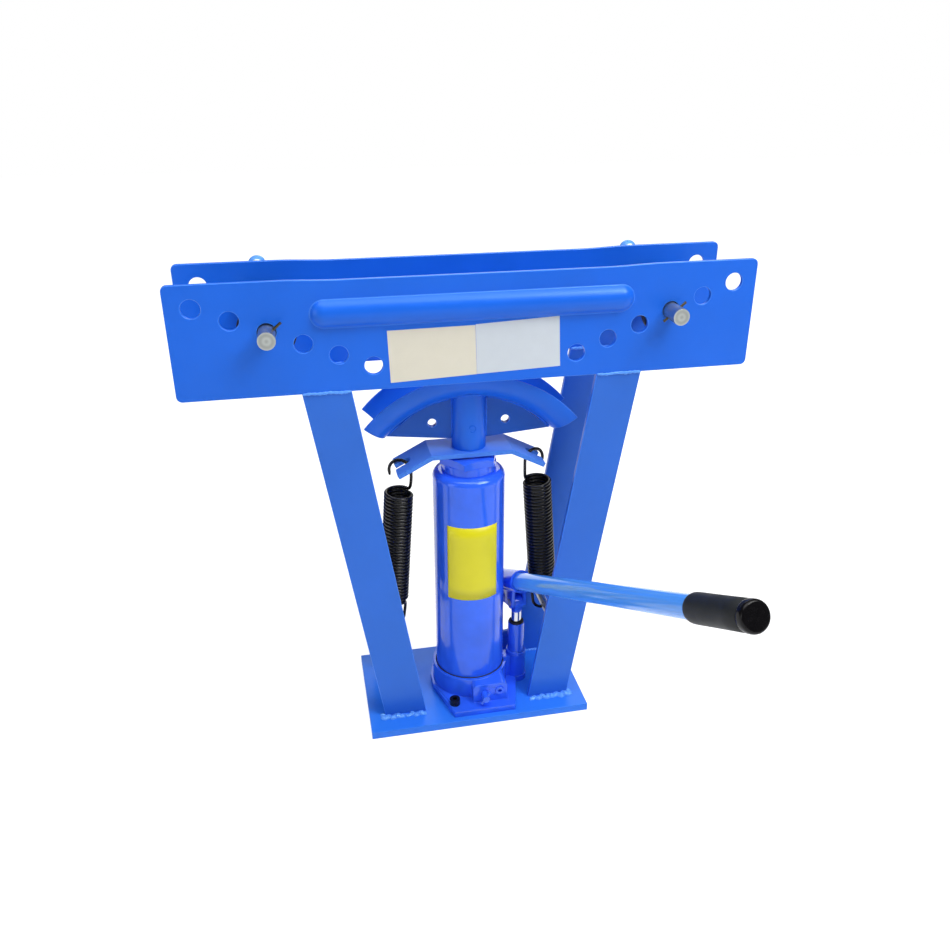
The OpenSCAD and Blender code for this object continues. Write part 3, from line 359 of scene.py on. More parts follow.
def tube_enamel(base):
    """Stoved enamel on drawn tube: bright gloss over faint draw lines along the tube."""
    made, tree, shader, where = start_material("stoved_tube_enamel", base, 0.0, 0.16)
    shader.inputs["Specular Tint"].default_value = SKY
    shader.inputs["Coat Weight"].default_value = 0.4
    shader.inputs["Coat Roughness"].default_value = 0.06
    axis = handle_axis()
    turn = axis.to_track_quat("Z", "Y").inverted().to_euler()
    along = add_node(
        tree, "ShaderNodeVectorRotate", {"Vector": where, "Rotation": turn}, rotation_type="EULER_XYZ"
    )
    # draw lines are finer than a millimetre, drawn 3 mm wide and long so that they show
    lines = add_node(
        tree, "ShaderNodeMapping", {"Vector": along.outputs["Vector"], "Scale": (1.0, 1.0, 0.03)}
    )
    drawn = add_node(
        tree, "ShaderNodeTexNoise",
        {"Vector": lines.outputs["Vector"], "Scale": 1 / (3 * MM), "Detail": 2.0}
    )
    depth = add_node(
        tree, "ShaderNodeMapRange",
        {"Value": drawn.outputs["Fac"], **NOISE_SPAN, "To Min": 0.94, "To Max": 1.06}
    )
    tone = add_node(tree, "ShaderNodeHueSaturation", {"Color": base, "Value": depth.outputs["Result"]})
    tree.links.new(tone.outputs["Color"], shader.inputs["Base Color"])
    bump = add_node(
        tree, "ShaderNodeBump", {"Strength": 0.2, "Distance": 0.1 * MM, "Height": drawn.outputs["Fac"]}
    )
    tree.links.new(bump.outputs["Normal"], shader.inputs["Normal"])
    return made


def zinc_plate(base):
    """Bright zinc plate on turned steel: grey white, with fine turning marks and dull clouds."""
    made, tree, shader, where = start_material("zinc_plated_steel", base, 1.0, 0.32)
    cloud = add_node(tree, "ShaderNodeTexNoise", {"Vector": where, "Scale": 1 / (9 * MM), "Detail": 4.0})
    gloss = add_node(
        tree, "ShaderNodeMapRange",
        {"Value": cloud.outputs["Fac"], **NOISE_SPAN, "To Min": 0.24, "To Max": 0.45}
    )
    tree.links.new(gloss.outputs["Result"], shader.inputs["Roughness"])
    dull = add_node(
        tree, "ShaderNodeMapRange",
        {"Value": cloud.outputs["Fac"], "From Min": 0.25, "From Max": 0.75, "To Min": 0.8, "To Max": 1.08}
    )
    tone = add_node(tree, "ShaderNodeHueSaturation", {"Color": base, "Value": dull.outputs["Result"]})
    tree.links.new(tone.outputs["Color"], shader.inputs["Base Color"])
    # turning marks a tenth of a millimetre apart, drawn about 1.6 mm apart so that they show
    marks = add_node(
        tree, "ShaderNodeTexWave", {"Vector": where, "Scale": WAVE_SPAN / (1.578 * MM), "Distortion": 1.5},
        bands_direction="Y"
    )
    bump = add_node(
        tree, "ShaderNodeBump", {"Strength": 0.1, "Distance": 0.05 * MM, "Height": marks.outputs["Fac"]}
    )
    tree.links.new(bump.outputs["Normal"], shader.inputs["Normal"])
    return made


def painted_end(made, base, axis, beyond):
    """Paint on one end of a plated piece, from a place along an axis on: satin, and never metallic."""
    tree = made.node_tree
    shader = next(n for n in tree.nodes if n.type == "BSDF_PRINCIPLED")
    where = add_node(tree, "ShaderNodeTexCoord").outputs["Object"]
    along = add_node(tree, "ShaderNodeSeparateXYZ", {"Vector": where}).outputs[axis]
    # the brush left an edge about half a millimetre wide
    edge = add_node(
        tree, "ShaderNodeMapRange",
        {"Value": along, "From Min": beyond - 0.25 * MM, "From Max": beyond + 0.25 * MM}
    ).outputs["Result"]
    bare = add_node(tree, "ShaderNodeMapRange", {"Value": edge, "To Min": 1.0, "To Max": 0.0})
    cloud = add_node(tree, "ShaderNodeTexNoise", {"Vector": where, "Scale": 1 / (10 * MM), "Detail": 2.0})
    depth = add_node(
        tree, "ShaderNodeMapRange", {"Value": cloud.outputs["Fac"], "To Min": 0.9, "To Max": 1.1}
    )
    paint = add_node(tree, "ShaderNodeHueSaturation", {"Color": base, "Value": depth.outputs["Result"]})
    links = shader.inputs["Base Color"].links
    plate = links[0].from_socket if links else tuple(shader.inputs["Base Color"].default_value)
    both = add_node(
        tree, "ShaderNodeMixRGB", {"Fac": edge, "Color1": plate, "Color2": paint.outputs["Color"]}
    )
    tree.links.new(both.outputs["Color"], shader.inputs["Base Color"])
    tree.links.new(bare.outputs["Result"], shader.inputs["Metallic"])
    return made


def pin_zinc(base, centre):
    """Dull zinc plate on turned bar: grey, with lathe rings round the middle of its faced ends."""
    made, tree, shader, where = start_material("dull_zinc_on_turned_bar", base, 0.6, 0.42)
    cloud = add_node(tree, "ShaderNodeTexNoise", {"Vector": where, "Scale": 1 / (7 * MM), "Detail": 4.0})
    gloss = add_node(
        tree, "ShaderNodeMapRange",
        {"Value": cloud.outputs["Fac"], **NOISE_SPAN, "To Min": 0.34, "To Max": 0.5}
    )
    tree.links.new(gloss.outputs["Result"], shader.inputs["Roughness"])
    # both pins are as far from the middle, so one set of rings serves them
    folded = add_node(tree, "ShaderNodeVectorMath", {0: where}, operation="ABSOLUTE")
    middle = add_node(tree, "ShaderNodeVectorMath", {0: folded.outputs[0], 1: centre}, operation="SUBTRACT")
    # lathe rings a tenth of a millimetre apart, drawn about 6 mm apart so that they show
    rings = add_node(
        tree, "ShaderNodeTexWave",
        {"Vector": middle.outputs[0], "Scale": WAVE_SPAN / (5.919 * MM), "Distortion": 0.8},
        wave_type="RINGS", rings_direction="Y"
    )
    dull = add_node(
        tree, "ShaderNodeMapRange", {"Value": rings.outputs["Fac"], "To Min": 0.82, "To Max": 1.1}
    )
    tone = add_node(tree, "ShaderNodeHueSaturation", {"Color": base, "Value": dull.outputs["Result"]})
    tree.links.new(tone.outputs["Color"], shader.inputs["Base Color"])
    bump = add_node(
        tree, "ShaderNodeBump", {"Strength": 0.2, "Distance": 0.08 * MM, "Height": rings.outputs["Fac"]}
    )
    tree.links.new(bump.outputs["Normal"], shader.inputs["Normal"])
    return made


def hard_chrome(base):
    """Ground and hard chromed rod: mirror bright with a trace of grinding round it."""
    made, tree, shader, where = start_material("hard_chromed_rod", base, 1.0, 0.09)
    # grinding lines 0.2 mm apart, drawn about 2 mm apart so that they show
    ground = add_node(
        tree, "ShaderNodeTexWave", {"Vector": where, "Scale": WAVE_SPAN / (1.973 * MM), "Distortion": 0.6},
        bands_direction="Z"
    )
    gloss = add_node(
        tree, "ShaderNodeMapRange", {"Value": ground.outputs["Fac"], "To Min": 0.07, "To Max": 0.14}
    )
    tree.links.new(gloss.outputs["Result"], shader.inputs["Roughness"])
    return made


def phosphated_steel(base):
    """Manganese phosphate on turned steel: oily, dark grey and matt, with a fine crystal grain."""
    made, tree, shader, where = start_material("phosphated_steel", base, 0.55, 0.5)
    # crystals are far under a millimetre, drawn at 1.5 mm so that they show
    grain = add_node(tree, "ShaderNodeTexNoise", {"Vector": where, "Scale": 1 / (1.5 * MM), "Detail": 2.0})
    tone = add_node(
        tree, "ShaderNodeMapRange", {"Value": grain.outputs["Fac"], "To Min": 0.75, "To Max": 1.25}
    )
    shade = add_node(tree, "ShaderNodeHueSaturation", {"Color": base, "Value": tone.outputs["Result"]})
    tree.links.new(shade.outputs["Color"], shader.inputs["Base Color"])
    gloss = add_node(
        tree, "ShaderNodeMapRange", {"Value": grain.outputs["Fac"], "To Min": 0.4, "To Max": 0.62}
    )
    tree.links.new(gloss.outputs["Result"], shader.inputs["Roughness"])
    return made


def yellow_passivate(base):
    """Yellow passivated zinc: dull brass colour that drifts to green and rose over a few millimetres."""
    made, tree, shader, where = start_material("yellow_passivated_steel", base, 1.0, 0.38)
    drift = add_node(tree, "ShaderNodeTexNoise", {"Vector": where, "Scale": 1 / (6 * MM), "Detail": 2.0})
    turn = add_node(
        tree, "ShaderNodeMapRange", {"Value": drift.outputs["Fac"], "To Min": 0.46, "To Max": 0.54}
    )
    tone = add_node(tree, "ShaderNodeHueSaturation", {"Color": base, "Hue": turn.outputs["Result"]})
    tree.links.new(tone.outputs["Color"], shader.inputs["Base Color"])
    return made


def black_oxide(base):
    """Oil blackened steel: near black, with a satin shine and small spots of scale and oil."""
    made, tree, shader, where = start_material("oil_blackened_steel", base, 0.0, 0.25)
    shader.inputs["Specular IOR Level"].default_value = 0.35
    # scale and oil spots 2 to 4 mm wide
    spots = add_node(tree, "ShaderNodeTexNoise", {"Vector": where, "Scale": 1 / (3 * MM), "Detail": 3.0})
    gloss = add_node(
        tree, "ShaderNodeMapRange",
        {"Value": spots.outputs["Fac"], **NOISE_SPAN, "To Min": 0.14, "To Max": 0.28}
    )
    tree.links.new(gloss.outputs["Result"], shader.inputs["Roughness"])
    tone = add_node(
        tree, "ShaderNodeMapRange",
        {"Value": spots.outputs["Fac"], **NOISE_SPAN, "To Min": 0.7, "To Max": 1.5}
    )
    shade = add_node(tree, "ShaderNodeHueSaturation", {"Color": base, "Value": tone.outputs["Result"]})
    tree.links.new(shade.outputs["Color"], shader.inputs["Base Color"])
    return made


def nitrile(base):
    """Moulded nitrile rubber: black and dull, with a fine bloom."""
    made, tree, shader, where = start_material("moulded_nitrile", base, 0.0, 0.55)
    bloom = add_node(tree, "ShaderNodeTexNoise", {"Vector": where, "Scale": 1 / (4 * MM), "Detail": 3.0})
    gloss = add_node(
        tree, "ShaderNodeMapRange", {"Value": bloom.outputs["Fac"], "To Min": 0.45, "To Max": 0.7}
    )
    tree.links.new(gloss.outputs["Result"], shader.inputs["Roughness"])
    return made


def grip_rubber(base):
    """Moulded grip rubber: matt black with a leather grain, smoother where hands have rubbed it."""
    made, tree, shader, where = start_material("moulded_grip_rubber", base, 0.0, 0.58)
    shader.inputs["Specular IOR Level"].default_value = 0.35
    # grain of about 0.8 mm, drawn at 1.6 mm so that it shows
    grain = add_node(tree, "ShaderNodeTexVoronoi", {"Vector": where, "Scale": 1 / (1.6 * MM)})
    bump = add_node(
        tree, "ShaderNodeBump",
        {"Strength": 0.3, "Distance": 0.15 * MM, "Height": grain.outputs["Distance"]}
    )
    tree.links.new(bump.outputs["Normal"], shader.inputs["Normal"])
    rub = add_node(tree, "ShaderNodeTexNoise", {"Vector": where, "Scale": 1 / (25 * MM), "Detail": 3.0})
    gloss = add_node(
        tree, "ShaderNodeMapRange",
        {"Value": rub.outputs["Fac"], **NOISE_SPAN, "To Min": 0.48, "To Max": 0.66}
    )
    tree.links.new(gloss.outputs["Result"], shader.inputs["Roughness"])
    tone = add_node(
        tree, "ShaderNodeMapRange",
        {"Value": rub.outputs["Fac"], **NOISE_SPAN, "To Min": 0.85, "To Max": 1.2}
    )
    shade = add_node(tree, "ShaderNodeHueSaturation", {"Color": base, "Value": tone.outputs["Result"]})
    tree.links.new(shade.outputs["Color"], shader.inputs["Base Color"])
    return made


def dipped_pvc(base):
    """Dipped PVC cap: black and glossy, with a slow ripple from the dip."""
    made, tree, shader, where = start_material("dipped_pvc", base, 0.0, 0.2)
    shader.inputs["Specular IOR Level"].default_value = 0.2
    ripple = add_node(tree, "ShaderNodeTexNoise", {"Vector": where, "Scale": 1 / (5 * MM), "Detail": 2.0})
    gloss = add_node(
        tree, "ShaderNodeMapRange",
        {"Value": ripple.outputs["Fac"], **NOISE_SPAN, "To Min": 0.16, "To Max": 0.3}
    )
    tree.links.new(gloss.outputs["Result"], shader.inputs["Roughness"])
    bump = add_node(
        tree, "ShaderNodeBump", {"Strength": 0.15, "Distance": 0.12 * MM, "Height": ripple.outputs["Fac"]}
    )
    tree.links.new(bump.outputs["Normal"], shader.inputs["Normal"])
    return made


def vinyl_film(name, base):
    """Blank vinyl film: satin and even, with a slight ripple where it lies over the paint."""
    made, tree, shader, where = start_material(name, base, 0.0, 0.36)
    ripple = add_node(tree, "ShaderNodeTexNoise", {"Vector": where, "Scale": 1 / (14 * MM), "Detail": 2.0})
    tone = add_node(
        tree, "ShaderNodeMapRange", {"Value": ripple.outputs["Fac"], "To Min": 0.97, "To Max": 1.03}
    )
    shade = add_node(tree, "ShaderNodeHueSaturation", {"Color": base, "Value": tone.outputs["Result"]})
    tree.links.new(shade.outputs["Color"], shader.inputs["Base Color"])
    bump = add_node(
        tree, "ShaderNodeBump", {"Strength": 0.15, "Distance": 0.15 * MM, "Height": ripple.outputs["Fac"]}
    )
    tree.links.new(bump.outputs["Normal"], shader.inputs["Normal"])
    return made


def finish_node(name, material, rounding, edge=None, angle=38, sheet=False, clamp=True):
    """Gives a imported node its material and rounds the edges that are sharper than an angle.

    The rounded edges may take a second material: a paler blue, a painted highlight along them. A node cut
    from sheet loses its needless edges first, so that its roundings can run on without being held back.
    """
    node = NODES[name]
    node.data.materials.clear()
    node.data.materials.append(material)
    if edge:
        node.data.materials.append(edge)
    for polygon in node.data.polygons:
        polygon.use_smooth = True
    weld = node.modifiers.new("one_skin", "WELD")
    weld.merge_threshold = 0.005 * MM
    if rounding:
        if sheet:
            flat = node.modifiers.new("flat_faces", "DECIMATE")
            flat.decimate_type = "DISSOLVE"
            flat.angle_limit = math.radians(0.4)
        bevel = node.modifiers.new("rounded_edges", "BEVEL")
        bevel.width = rounding
        bevel.segments = 2
        bevel.limit_method = "ANGLE"
        bevel.angle_limit = math.radians(angle)
        bevel.use_clamp_overlap = clamp and not sheet
        bevel.miter_outer = "MITER_ARC"
        bevel.material = 1 if edge else -1
    shade = node.modifiers.new("even_shading", "WEIGHTED_NORMAL")
    shade.keep_sharp = False
    shade.weight = 100


def add_piece(name, points, faces, material, body, slot):
    """A new smooth piece that moves with a body."""
    mesh = bpy.data.meshes.new(name)
    mesh.from_pydata([tuple(p) for p in points], [], faces)
    mesh.validate()
    mesh.update()
    for polygon in mesh.polygons:
        polygon.use_smooth = True
    mesh.materials.append(material)
    piece = bpy.data.objects.new(name, mesh)
    bpy.context.scene.collection.objects.link(piece)
    if body:
        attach(piece, body)
    return piece


def swept(line, radii, sides):
    """Points and faces of a closed tube along a line, with its own radius at each point."""
    points, faces = [], []
    side = None
    for i, at in enumerate(line):
        ahead = (line[min(i + 1, len(line) - 1)] - line[max(i - 1, 0)]).normalized()
        if side is None:
            side = ahead.orthogonal().normalized()
        side = (side - side.dot(ahead) * ahead).normalized()
        up = ahead.cross(side)
        for k in range(sides):
            a = 2 * math.pi * k / sides
            points.append(at + radii[i] * (math.cos(a) * side + math.sin(a) * up))
    for i in range(len(line) - 1):
        for k in range(sides):
            n = (k + 1) % sides
            faces.append((i * sides + k, i * sides + n, (i + 1) * sides + n, (i + 1) * sides + k))
    last = (len(line) - 1) * sides
    faces.append(tuple(range(sides - 1, -1, -1)))
    faces.append(tuple(range(last, last + sides)))
    return points, faces


def turned(profile, start, axis, segments, hollow):
    """Points and faces of a piece turned from radii and heights along an axis, hollow or closed."""
    side = axis.orthogonal().normalized()
    up = axis.cross(side)
    points, faces = [], []
    for radius, height in profile:
        for k in range(segments):
            a = 2 * math.pi * k / segments
            points.append(start + height * axis + radius * (math.cos(a) * side + math.sin(a) * up))
    last = len(profile) - 1
    for i in range(last + 1 if hollow else last):
        here = i * segments
        beyond = (i + 1) % len(profile) * segments
        for k in range(segments):
            n = (k + 1) % segments
            faces.append((here + k, here + n, beyond + n, beyond + k))
    if not hollow:
        faces.append(tuple(range(segments - 1, -1, -1)))
        faces.append(tuple(range(last * segments, (last + 1) * segments)))
    return points, faces


def ring(centre, axis, radius, steps=40, share=1.0):
    """Points round a circle, or a share of one."""
    side = axis.orthogonal().normalized()
    up = axis.cross(side)
    return [
        centre + radius * (math.cos(a) * side + math.sin(a) * up)
        for a in (2 * math.pi * share * i / steps for i in range(steps + 1))
    ]


def corner(side, front, x, y, z):
    """A place in metres from one in millimetres, mirrored to a side and to the front or the back."""
    return Vector((side * x * MM, front * y * MM, z * MM))


def handle_axis():
    """Direction of the handle, which points forward, turned to the right and rising."""
    turn = math.radians(HANDLE_TURN)
    rise = math.radians(HANDLE_RISE)
    return Vector((math.cos(rise) * math.sin(turn), -math.cos(rise) * math.cos(turn), math.sin(rise)))


def hook_line(radius, lift, turn, tail):
    """Middle line of a spring's hook, turned about the coil, with a short straight tail."""
    steps = 24
    made = []
    for i in range(steps + 1):
        a = math.radians(HOOK_SWEEP) * i / steps
        out = radius * (1 - math.cos(a))
        up = lift + radius * math.sin(a)
        made.append(Vector((out * math.cos(turn) - radius, out * math.sin(turn), up)))
    made.append(made[-1] + tail * (made[-1] - made[-2]).normalized())
    return made


def bend_line(start, pull, end):
    """Points of a smooth bend between two ends, which are left out, drawn towards a third point."""
    steps = 10
    made = []
    for i in range(1, steps):
        t = i / steps
        made.append((1 - t) * (1 - t) * start + 2 * t * (1 - t) * pull + t * t * end)
    return made


def spring_line(sizes, side):
    """Middle line of a return spring from its hook under the cross rod to its hook over the yoke."""
    wire = sizes.wire_d
    coil_r = (sizes.coil_d - wire) / 2
    pitch = wire + sizes.turn_gap
    coil_h = sizes.spring_turns * pitch
    hook_r = coil_r - wire / 2
    low = Vector(SPRING_LOW) * MM
    high = Vector(SPRING_HIGH) * MM
    lean = math.atan2(low.x - high.x, high.z - low.z)
    lift = ((high - low).length - coil_h) / 2 - hook_r
    steps = 32
    coil = []
    for i in range(sizes.spring_turns * steps + 1):
        a = math.pi + 2 * math.pi * i / steps
        coil.append(Vector((coil_r * math.cos(a), coil_r * math.sin(a), pitch * i / steps)))
    lower = hook_line(hook_r, lift, 0, wire)
    upper = hook_line(hook_r, lift, math.radians(UPPER_HOOK_TURN), wire)
    below = [Vector((p.x, p.y, -p.z)) for p in lower]
    above = [Vector((p.x, p.y, coil_h + p.z)) for p in upper]
    # the first and last eighth of a turn bend into the hooks
    cut = steps // 8
    line = below[::-1]
    line += bend_line(below[0], coil[0], coil[cut])
    line += coil[cut:-cut]
    line += bend_line(coil[-cut - 1], coil[-1], above[0])
    line += above
    turn = Euler((0, -lean, 0)).to_matrix()
    placed = [low + turn @ (p + Vector((0, 0, lift + hook_r))) for p in line]
    return [Vector((side * p.x, p.y, p.z)) for p in placed]


def bead(line, width, seed, ripple=RIPPLE):
    """A weld bead along a line: rippled, uneven in width, and narrower at its ends."""
    chance = random.Random(seed)
    step = 0.8 * MM
    taper = 2.5 * MM
    # shares: width lost between ripples, width left at the ends, wander kept from point to point
    dip = 0.26
    tip = 0.35
    steady = 0.9
    fine = [line[0]]
    for a, b in zip(line, line[1:]):
        n = max(1, round((b - a).length / step))
        fine += [a + (b - a) * (i / n) for i in range(1, n + 1)]
    radii, wander = [], 0.0
    for i in range(len(fine)):
        wander = steady * wander + (1 - steady) * chance.uniform(-1, 1)
        wave = abs(math.cos(math.pi * i * step / (ripple * MM)))
        ends = min(1.0, (min(i, len(fine) - 1 - i) * step) / taper + tip)
        radii.append(width / 2 * (1 - dip + dip * wave) * (1 + 0.9 * wander) * ends)
    return swept(fine, radii, sides=10)


def foot_line(side, front):
    """A woven line along the outer face of a leg's foot and round the foot's end."""
    woven = []
    for i in range(WEAVE_POINTS):
        out = WEAVE_OUT + SWING_OUT * math.sin(1.4 * i)
        up = WEAVE_UP + SWING_UP * math.sin(0.9 * i)
        woven.append((WEAVE_START + WEAVE_PACE * i, out, up))
    round_end = [(29, 1.5, WEAVE_UP), (28.3, -3, 7.6)]
    return [corner(side, front, FOOT_X + x, LEG_FACE + y, z) for x, y, z in woven + round_end]


def head_line(side, front):
    """A wavering line over the top of a leg, along the side plate's lower edge."""
    depth, height = HEAD_FRONT
    wavering = ((-25.5, 0.2), (-14, -0.5), (-3, 0.4), (9, -0.3), (17, 0.4), (25.3, -0.2))
    return [corner(side, front, HEAD_X + x, depth, height + z) for x, z in wavering]


def back_line(side, front, middle, place):
    """A straight line across the inner face of a leg, at a depth and a height."""
    return [corner(side, front, middle + x, *place) for x in BEAD_REACH]


def web_line(side, front):
    """Where a web meets the underside of the die's trough."""
    steps = 24
    centre = corner(side, front, 0, WEB_FACE, BEND_Z)
    made = []
    for i in range(steps + 1):
        a = math.radians(WEB_START + WEB_SWEEP * i / steps)
        made.append(centre + WEB_TOP_R * MM * Vector((side * math.sin(a), 0, math.cos(a))))
    return made


def crown_line(front):
    """Where the socket's rim meets the underside of the die's trough, between the webs."""
    steps = 16
    made = []
    for i in range(steps + 1):
        a = math.radians(-CROWN_HALF + 2 * CROWN_HALF * i / steps)
        x = CROWN_R * math.sin(a)
        y = CROWN_R * math.cos(a)
        deep = BEND_R - math.sqrt(TROUGH_R ** 2 - y ** 2)
        made.append(corner(1, front, x, y, BEND_Z + math.sqrt(deep ** 2 - x ** 2)))
    return made


def joined(pieces):
    """Points and faces of several pieces as one."""
    points, faces = [], []
    for more_points, more_faces in pieces:
        offset = len(points)
        points += more_points
        faces += [tuple(i + offset for i in face) for face in more_faces]
    return points, faces


def flat_film(corners, face, film):
    """Points and faces of a flat label on the front plate's face."""
    points = [Vector((x * MM, face, z * MM)) for x, z in corners]
    points += [p + Vector((0, -film, 0)) for p in points]
    faces = [(0, 1, 2, 3), (7, 6, 5, 4)]
    for i in range(4):
        n = (i + 1) % 4
        faces.append((4 + i, 4 + n, n, i))
    return points, faces


def tank_film(film):
    """Points and faces of the label round the front of the tank."""
    columns = 28
    rows = 6
    points, faces = [], []
    for skin in (TANK_R * MM, TANK_R * MM + film):
        for r in range(rows + 1):
            for c in range(columns + 1):
                a = math.radians(TANK_LABEL_START + TANK_LABEL_SWEEP * c / columns)
                z = (TANK_LABEL_Z + TANK_LABEL_H * r / rows) * MM
                points.append(Vector((skin * math.sin(a), -skin * math.cos(a), z)))
    wide = columns + 1
    outer = wide * (rows + 1)
    for r in range(rows):
        for c in range(columns):
            i = r * wide + c
            faces.append((i, i + wide, i + wide + 1, i + 1))
            faces.append((outer + i, outer + i + 1, outer + i + wide + 1, outer + i + wide))
    rim = list(range(wide))
    rim += [r * wide + columns for r in range(1, rows + 1)]
    rim += [rows * wide + c for c in range(columns - 1, -1, -1)]
    rim += [r * wide for r in range(rows - 1, 0, -1)]
    for a, b in zip(rim, rim[1:] + rim[:1]):
        faces.append((a, b, outer + b, outer + a))
    return points, faces


class BENDER_OT_coat_frame(bpy.types.Operator):
    """Powder coat the side plates, legs, base, yoke and die"""

    bl_idname = "bender.coat_frame"
    bl_label = "Coat the frame"

    def execute(self, context):
        colours, sizes = context.scene.bender_colours, context.scene.bender_sizes
        coat = powder_coat("polyester_powder_coat", colours.frame_blue)
        # the rounded edges get a paler blue: a painted highlight along them
        # this coat is the painted edge highlight
        thin = powder_coat("powder_coat_painted_highlight_on_edges", colours.edge_highlight_blue)
        for name in ("front_side_plate", "rear_side_plate"):
            finish_node(name, coat, sizes.plate_round, thin, sheet=True)
        # the legs get a greyer copy of the side plates' coat: a painted reflection of the bright room
        bars = powder_coat("powder_coat_with_painted_reflection_on_legs", colours.leg_reflection_blue)
        for name in ("front_left_leg", "front_right_leg", "rear_left_leg", "rear_right_leg"):
            finish_node(name, bars, sizes.bar_round, thin, sheet=True)
        # the base gets a lighter copy of the coat: painted light, for the top lamp on its upper face
        finish_node("base_plate", powder_coat("powder_coat_painted_lighter_on_base", colours.base_lit_blue), sizes.bar_round)
        # the yoke gets a paler copy of the coat, painted light for the sky on its upper faces, and a duller
        # gloss and crisp bends
        pale = powder_coat("powder_coat_painted_lighter_on_yoke", colours.yoke_lit_blue, low=0.46, high=0.56)
        finish_node("yoke", pale, sizes.bar_round, angle=20, sheet=True)
        finish_node("die_channel", coat, sizes.bar_round, thin, sheet=True)
        # the webs get a darker copy of the coat: painted shade, under the trough and the side plates
        webs = powder_coat("powder_coat_painted_shade_on_webs", colours.web_shaded_blue)
        for name in ("die_left_web", "die_right_web"):
            finish_node(name, webs, sizes.bar_round, thin, sheet=True)
        finish_node("die_socket", coat, sizes.bar_round)
        return {"FINISHED"}


class BENDER_OT_paint_jack(bpy.types.Operator):
    """Enamel the jack's castings, tank, pump and lever, and the handle tube"""

    bl_idname = "bender.paint_jack"
    bl_label = "Paint the jack"

    def execute(self, context):
        colours, sizes = context.scene.bender_colours, context.scene.bender_sizes
        enamel = jack_enamel(colours.jack_blue)
        finish_node("jack_foot", enamel, sizes.cast_round, clamp=False)
        for name in ("tank", "gland_nut", "pump_cylinder", "lever", "release_valve", "overload_screw"):
            finish_node(name, enamel, sizes.turned_round)
        # sprayed over with the nut
        finish_node("ram_wiper", enamel, sizes.seal_round)
        # the handle's paler enamel is partly a painted reflection
        finish_node("handle_tube", tube_enamel(colours.handle_paint_and_reflection_blue), 0)
        return {"FINISHED"}


class BENDER_OT_finish_steel(bpy.types.Operator):
    """Finish the plated and dark steel: pins, rods, links, rollers, ram, plunger, cotters and screws"""

    bl_idname = "bender.finish_steel"
    bl_label = "Finish the steel"

    def execute(self, context):
        colours, sizes = context.scene.bender_colours, context.scene.bender_sizes
        zinc = zinc_plate(colours.zinc)
        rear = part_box("rear_side_plate")[1].y + PIN_BARE_L * MM
        centre = (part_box("right_roller")[0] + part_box("right_roller")[1]) / 2
        plated = pin_zinc(colours.pin_zinc, (centre.x, 0, centre.z))
        # the pale paint on the pins' ends is partly a painted highlight
        pin = painted_end(plated, colours.pin_end_paint_and_highlight_blue, "Y", rear)
        for name in ("left_roller_pin", "right_roller_pin"):
            finish_node(name, pin, sizes.turned_round)
        for name in (
            "left_spring_rod", "right_spring_rod", "link_plates", "link_foot_pin", "fulcrum_pin",
            "plunger_pin_rod", "pressure_cylinder", "check_balls", "release_ball", "overload_spring_pad",
        ):
            finish_node(name, zinc, sizes.turned_round / 2)
        finish_node("ram", hard_chrome(colours.chrome), sizes.turned_round / 2)
        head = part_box("pump_wiper")[1].z + PLUNGER_BARE_L * MM
        plunger = painted_end(hard_chrome(colours.chrome), colours.jack_blue, "Z", head)
        plunger.name = "chromed_plunger_with_painted_head"
        finish_node("plunger", plunger, sizes.turned_round / 2)
        dark = phosphated_steel(colours.roller_steel)
        for name in ("left_roller", "right_roller", "ram_piston"):
            finish_node(name, dark, sizes.turned_round)
        yellow = yellow_passivate(colours.cotter_yellow)
        for name in ("left_cotter", "right_cotter"):
            finish_node(name, yellow, sizes.turned_round / 2)
        finish_node("hold_down_screws", black_oxide(colours.wire_black), sizes.turned_round)
        return {"FINISHED"}


class BENDER_OT_fit_seals(bpy.types.Operator):
    """Finish the seals, wipers and filler plug, and lay the tank's sealing ring"""

    bl_idname = "bender.fit_seals"
    bl_label = "Fit the seals"

    def execute(self, context):
        sizes = context.scene.bender_sizes
        rubber = nitrile(context.scene.bender_colours.nitrile_black)
        for name in ("tank_seal", "filler_plug", "ram_seal", "pump_wiper", "plunger_seal"):
            finish_node(name, rubber, sizes.seal_round)
        # the ring lies on the foot's rim, round the tank
        up = Vector((0, 0, 1))
        centre = (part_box("jack_foot")[0].z + FOOT_RIM_H * MM) * up
        line = ring(centre, up, SEAL_RING_R * MM, steps=96)
        points, faces = swept(line, [SEAL_RING_T / 2 * MM] * len(line), sides=8)
        add_piece("tank_ring", points, faces, rubber, "frame", "seal_rubber")
        return {"FINISHED"}


class BENDER_OT_wind_springs(bpy.types.Operator):
    """Wind the two return springs, stretched between the frame and the ram"""

    bl_idname = "bender.wind_springs"
    bl_label = "Wind the springs"

    def execute(self, context):
        sizes = context.scene.bender_sizes
        wire = black_oxide(context.scene.bender_colours.wire_black)
        wire.name = "oil_blackened_wire"
        thin = sizes.wire_d / 2
        # close turns, a little fatter than the wire so that no daylight shows between them
        fat = thin + sizes.turn_gap / 3
        for name, side in (("left_spring", -1), ("right_spring", 1)):
            line = spring_line(sizes, side)
            radii = [thin] * HOOK_POINTS
            radii += [fat] * (len(line) - 2 * HOOK_POINTS)
            radii += [thin] * HOOK_POINTS
            radii[0] = radii[-1] = sizes.wire_d / 3
            points, faces = swept(line, radii, WIRE_SIDES)
            coiled = name.replace("spring", "coil_spring")
            piece = add_piece(coiled, points, faces, wire, None, "black_steel")
            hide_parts(name)
            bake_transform(piece)
        return {"FINISHED"}


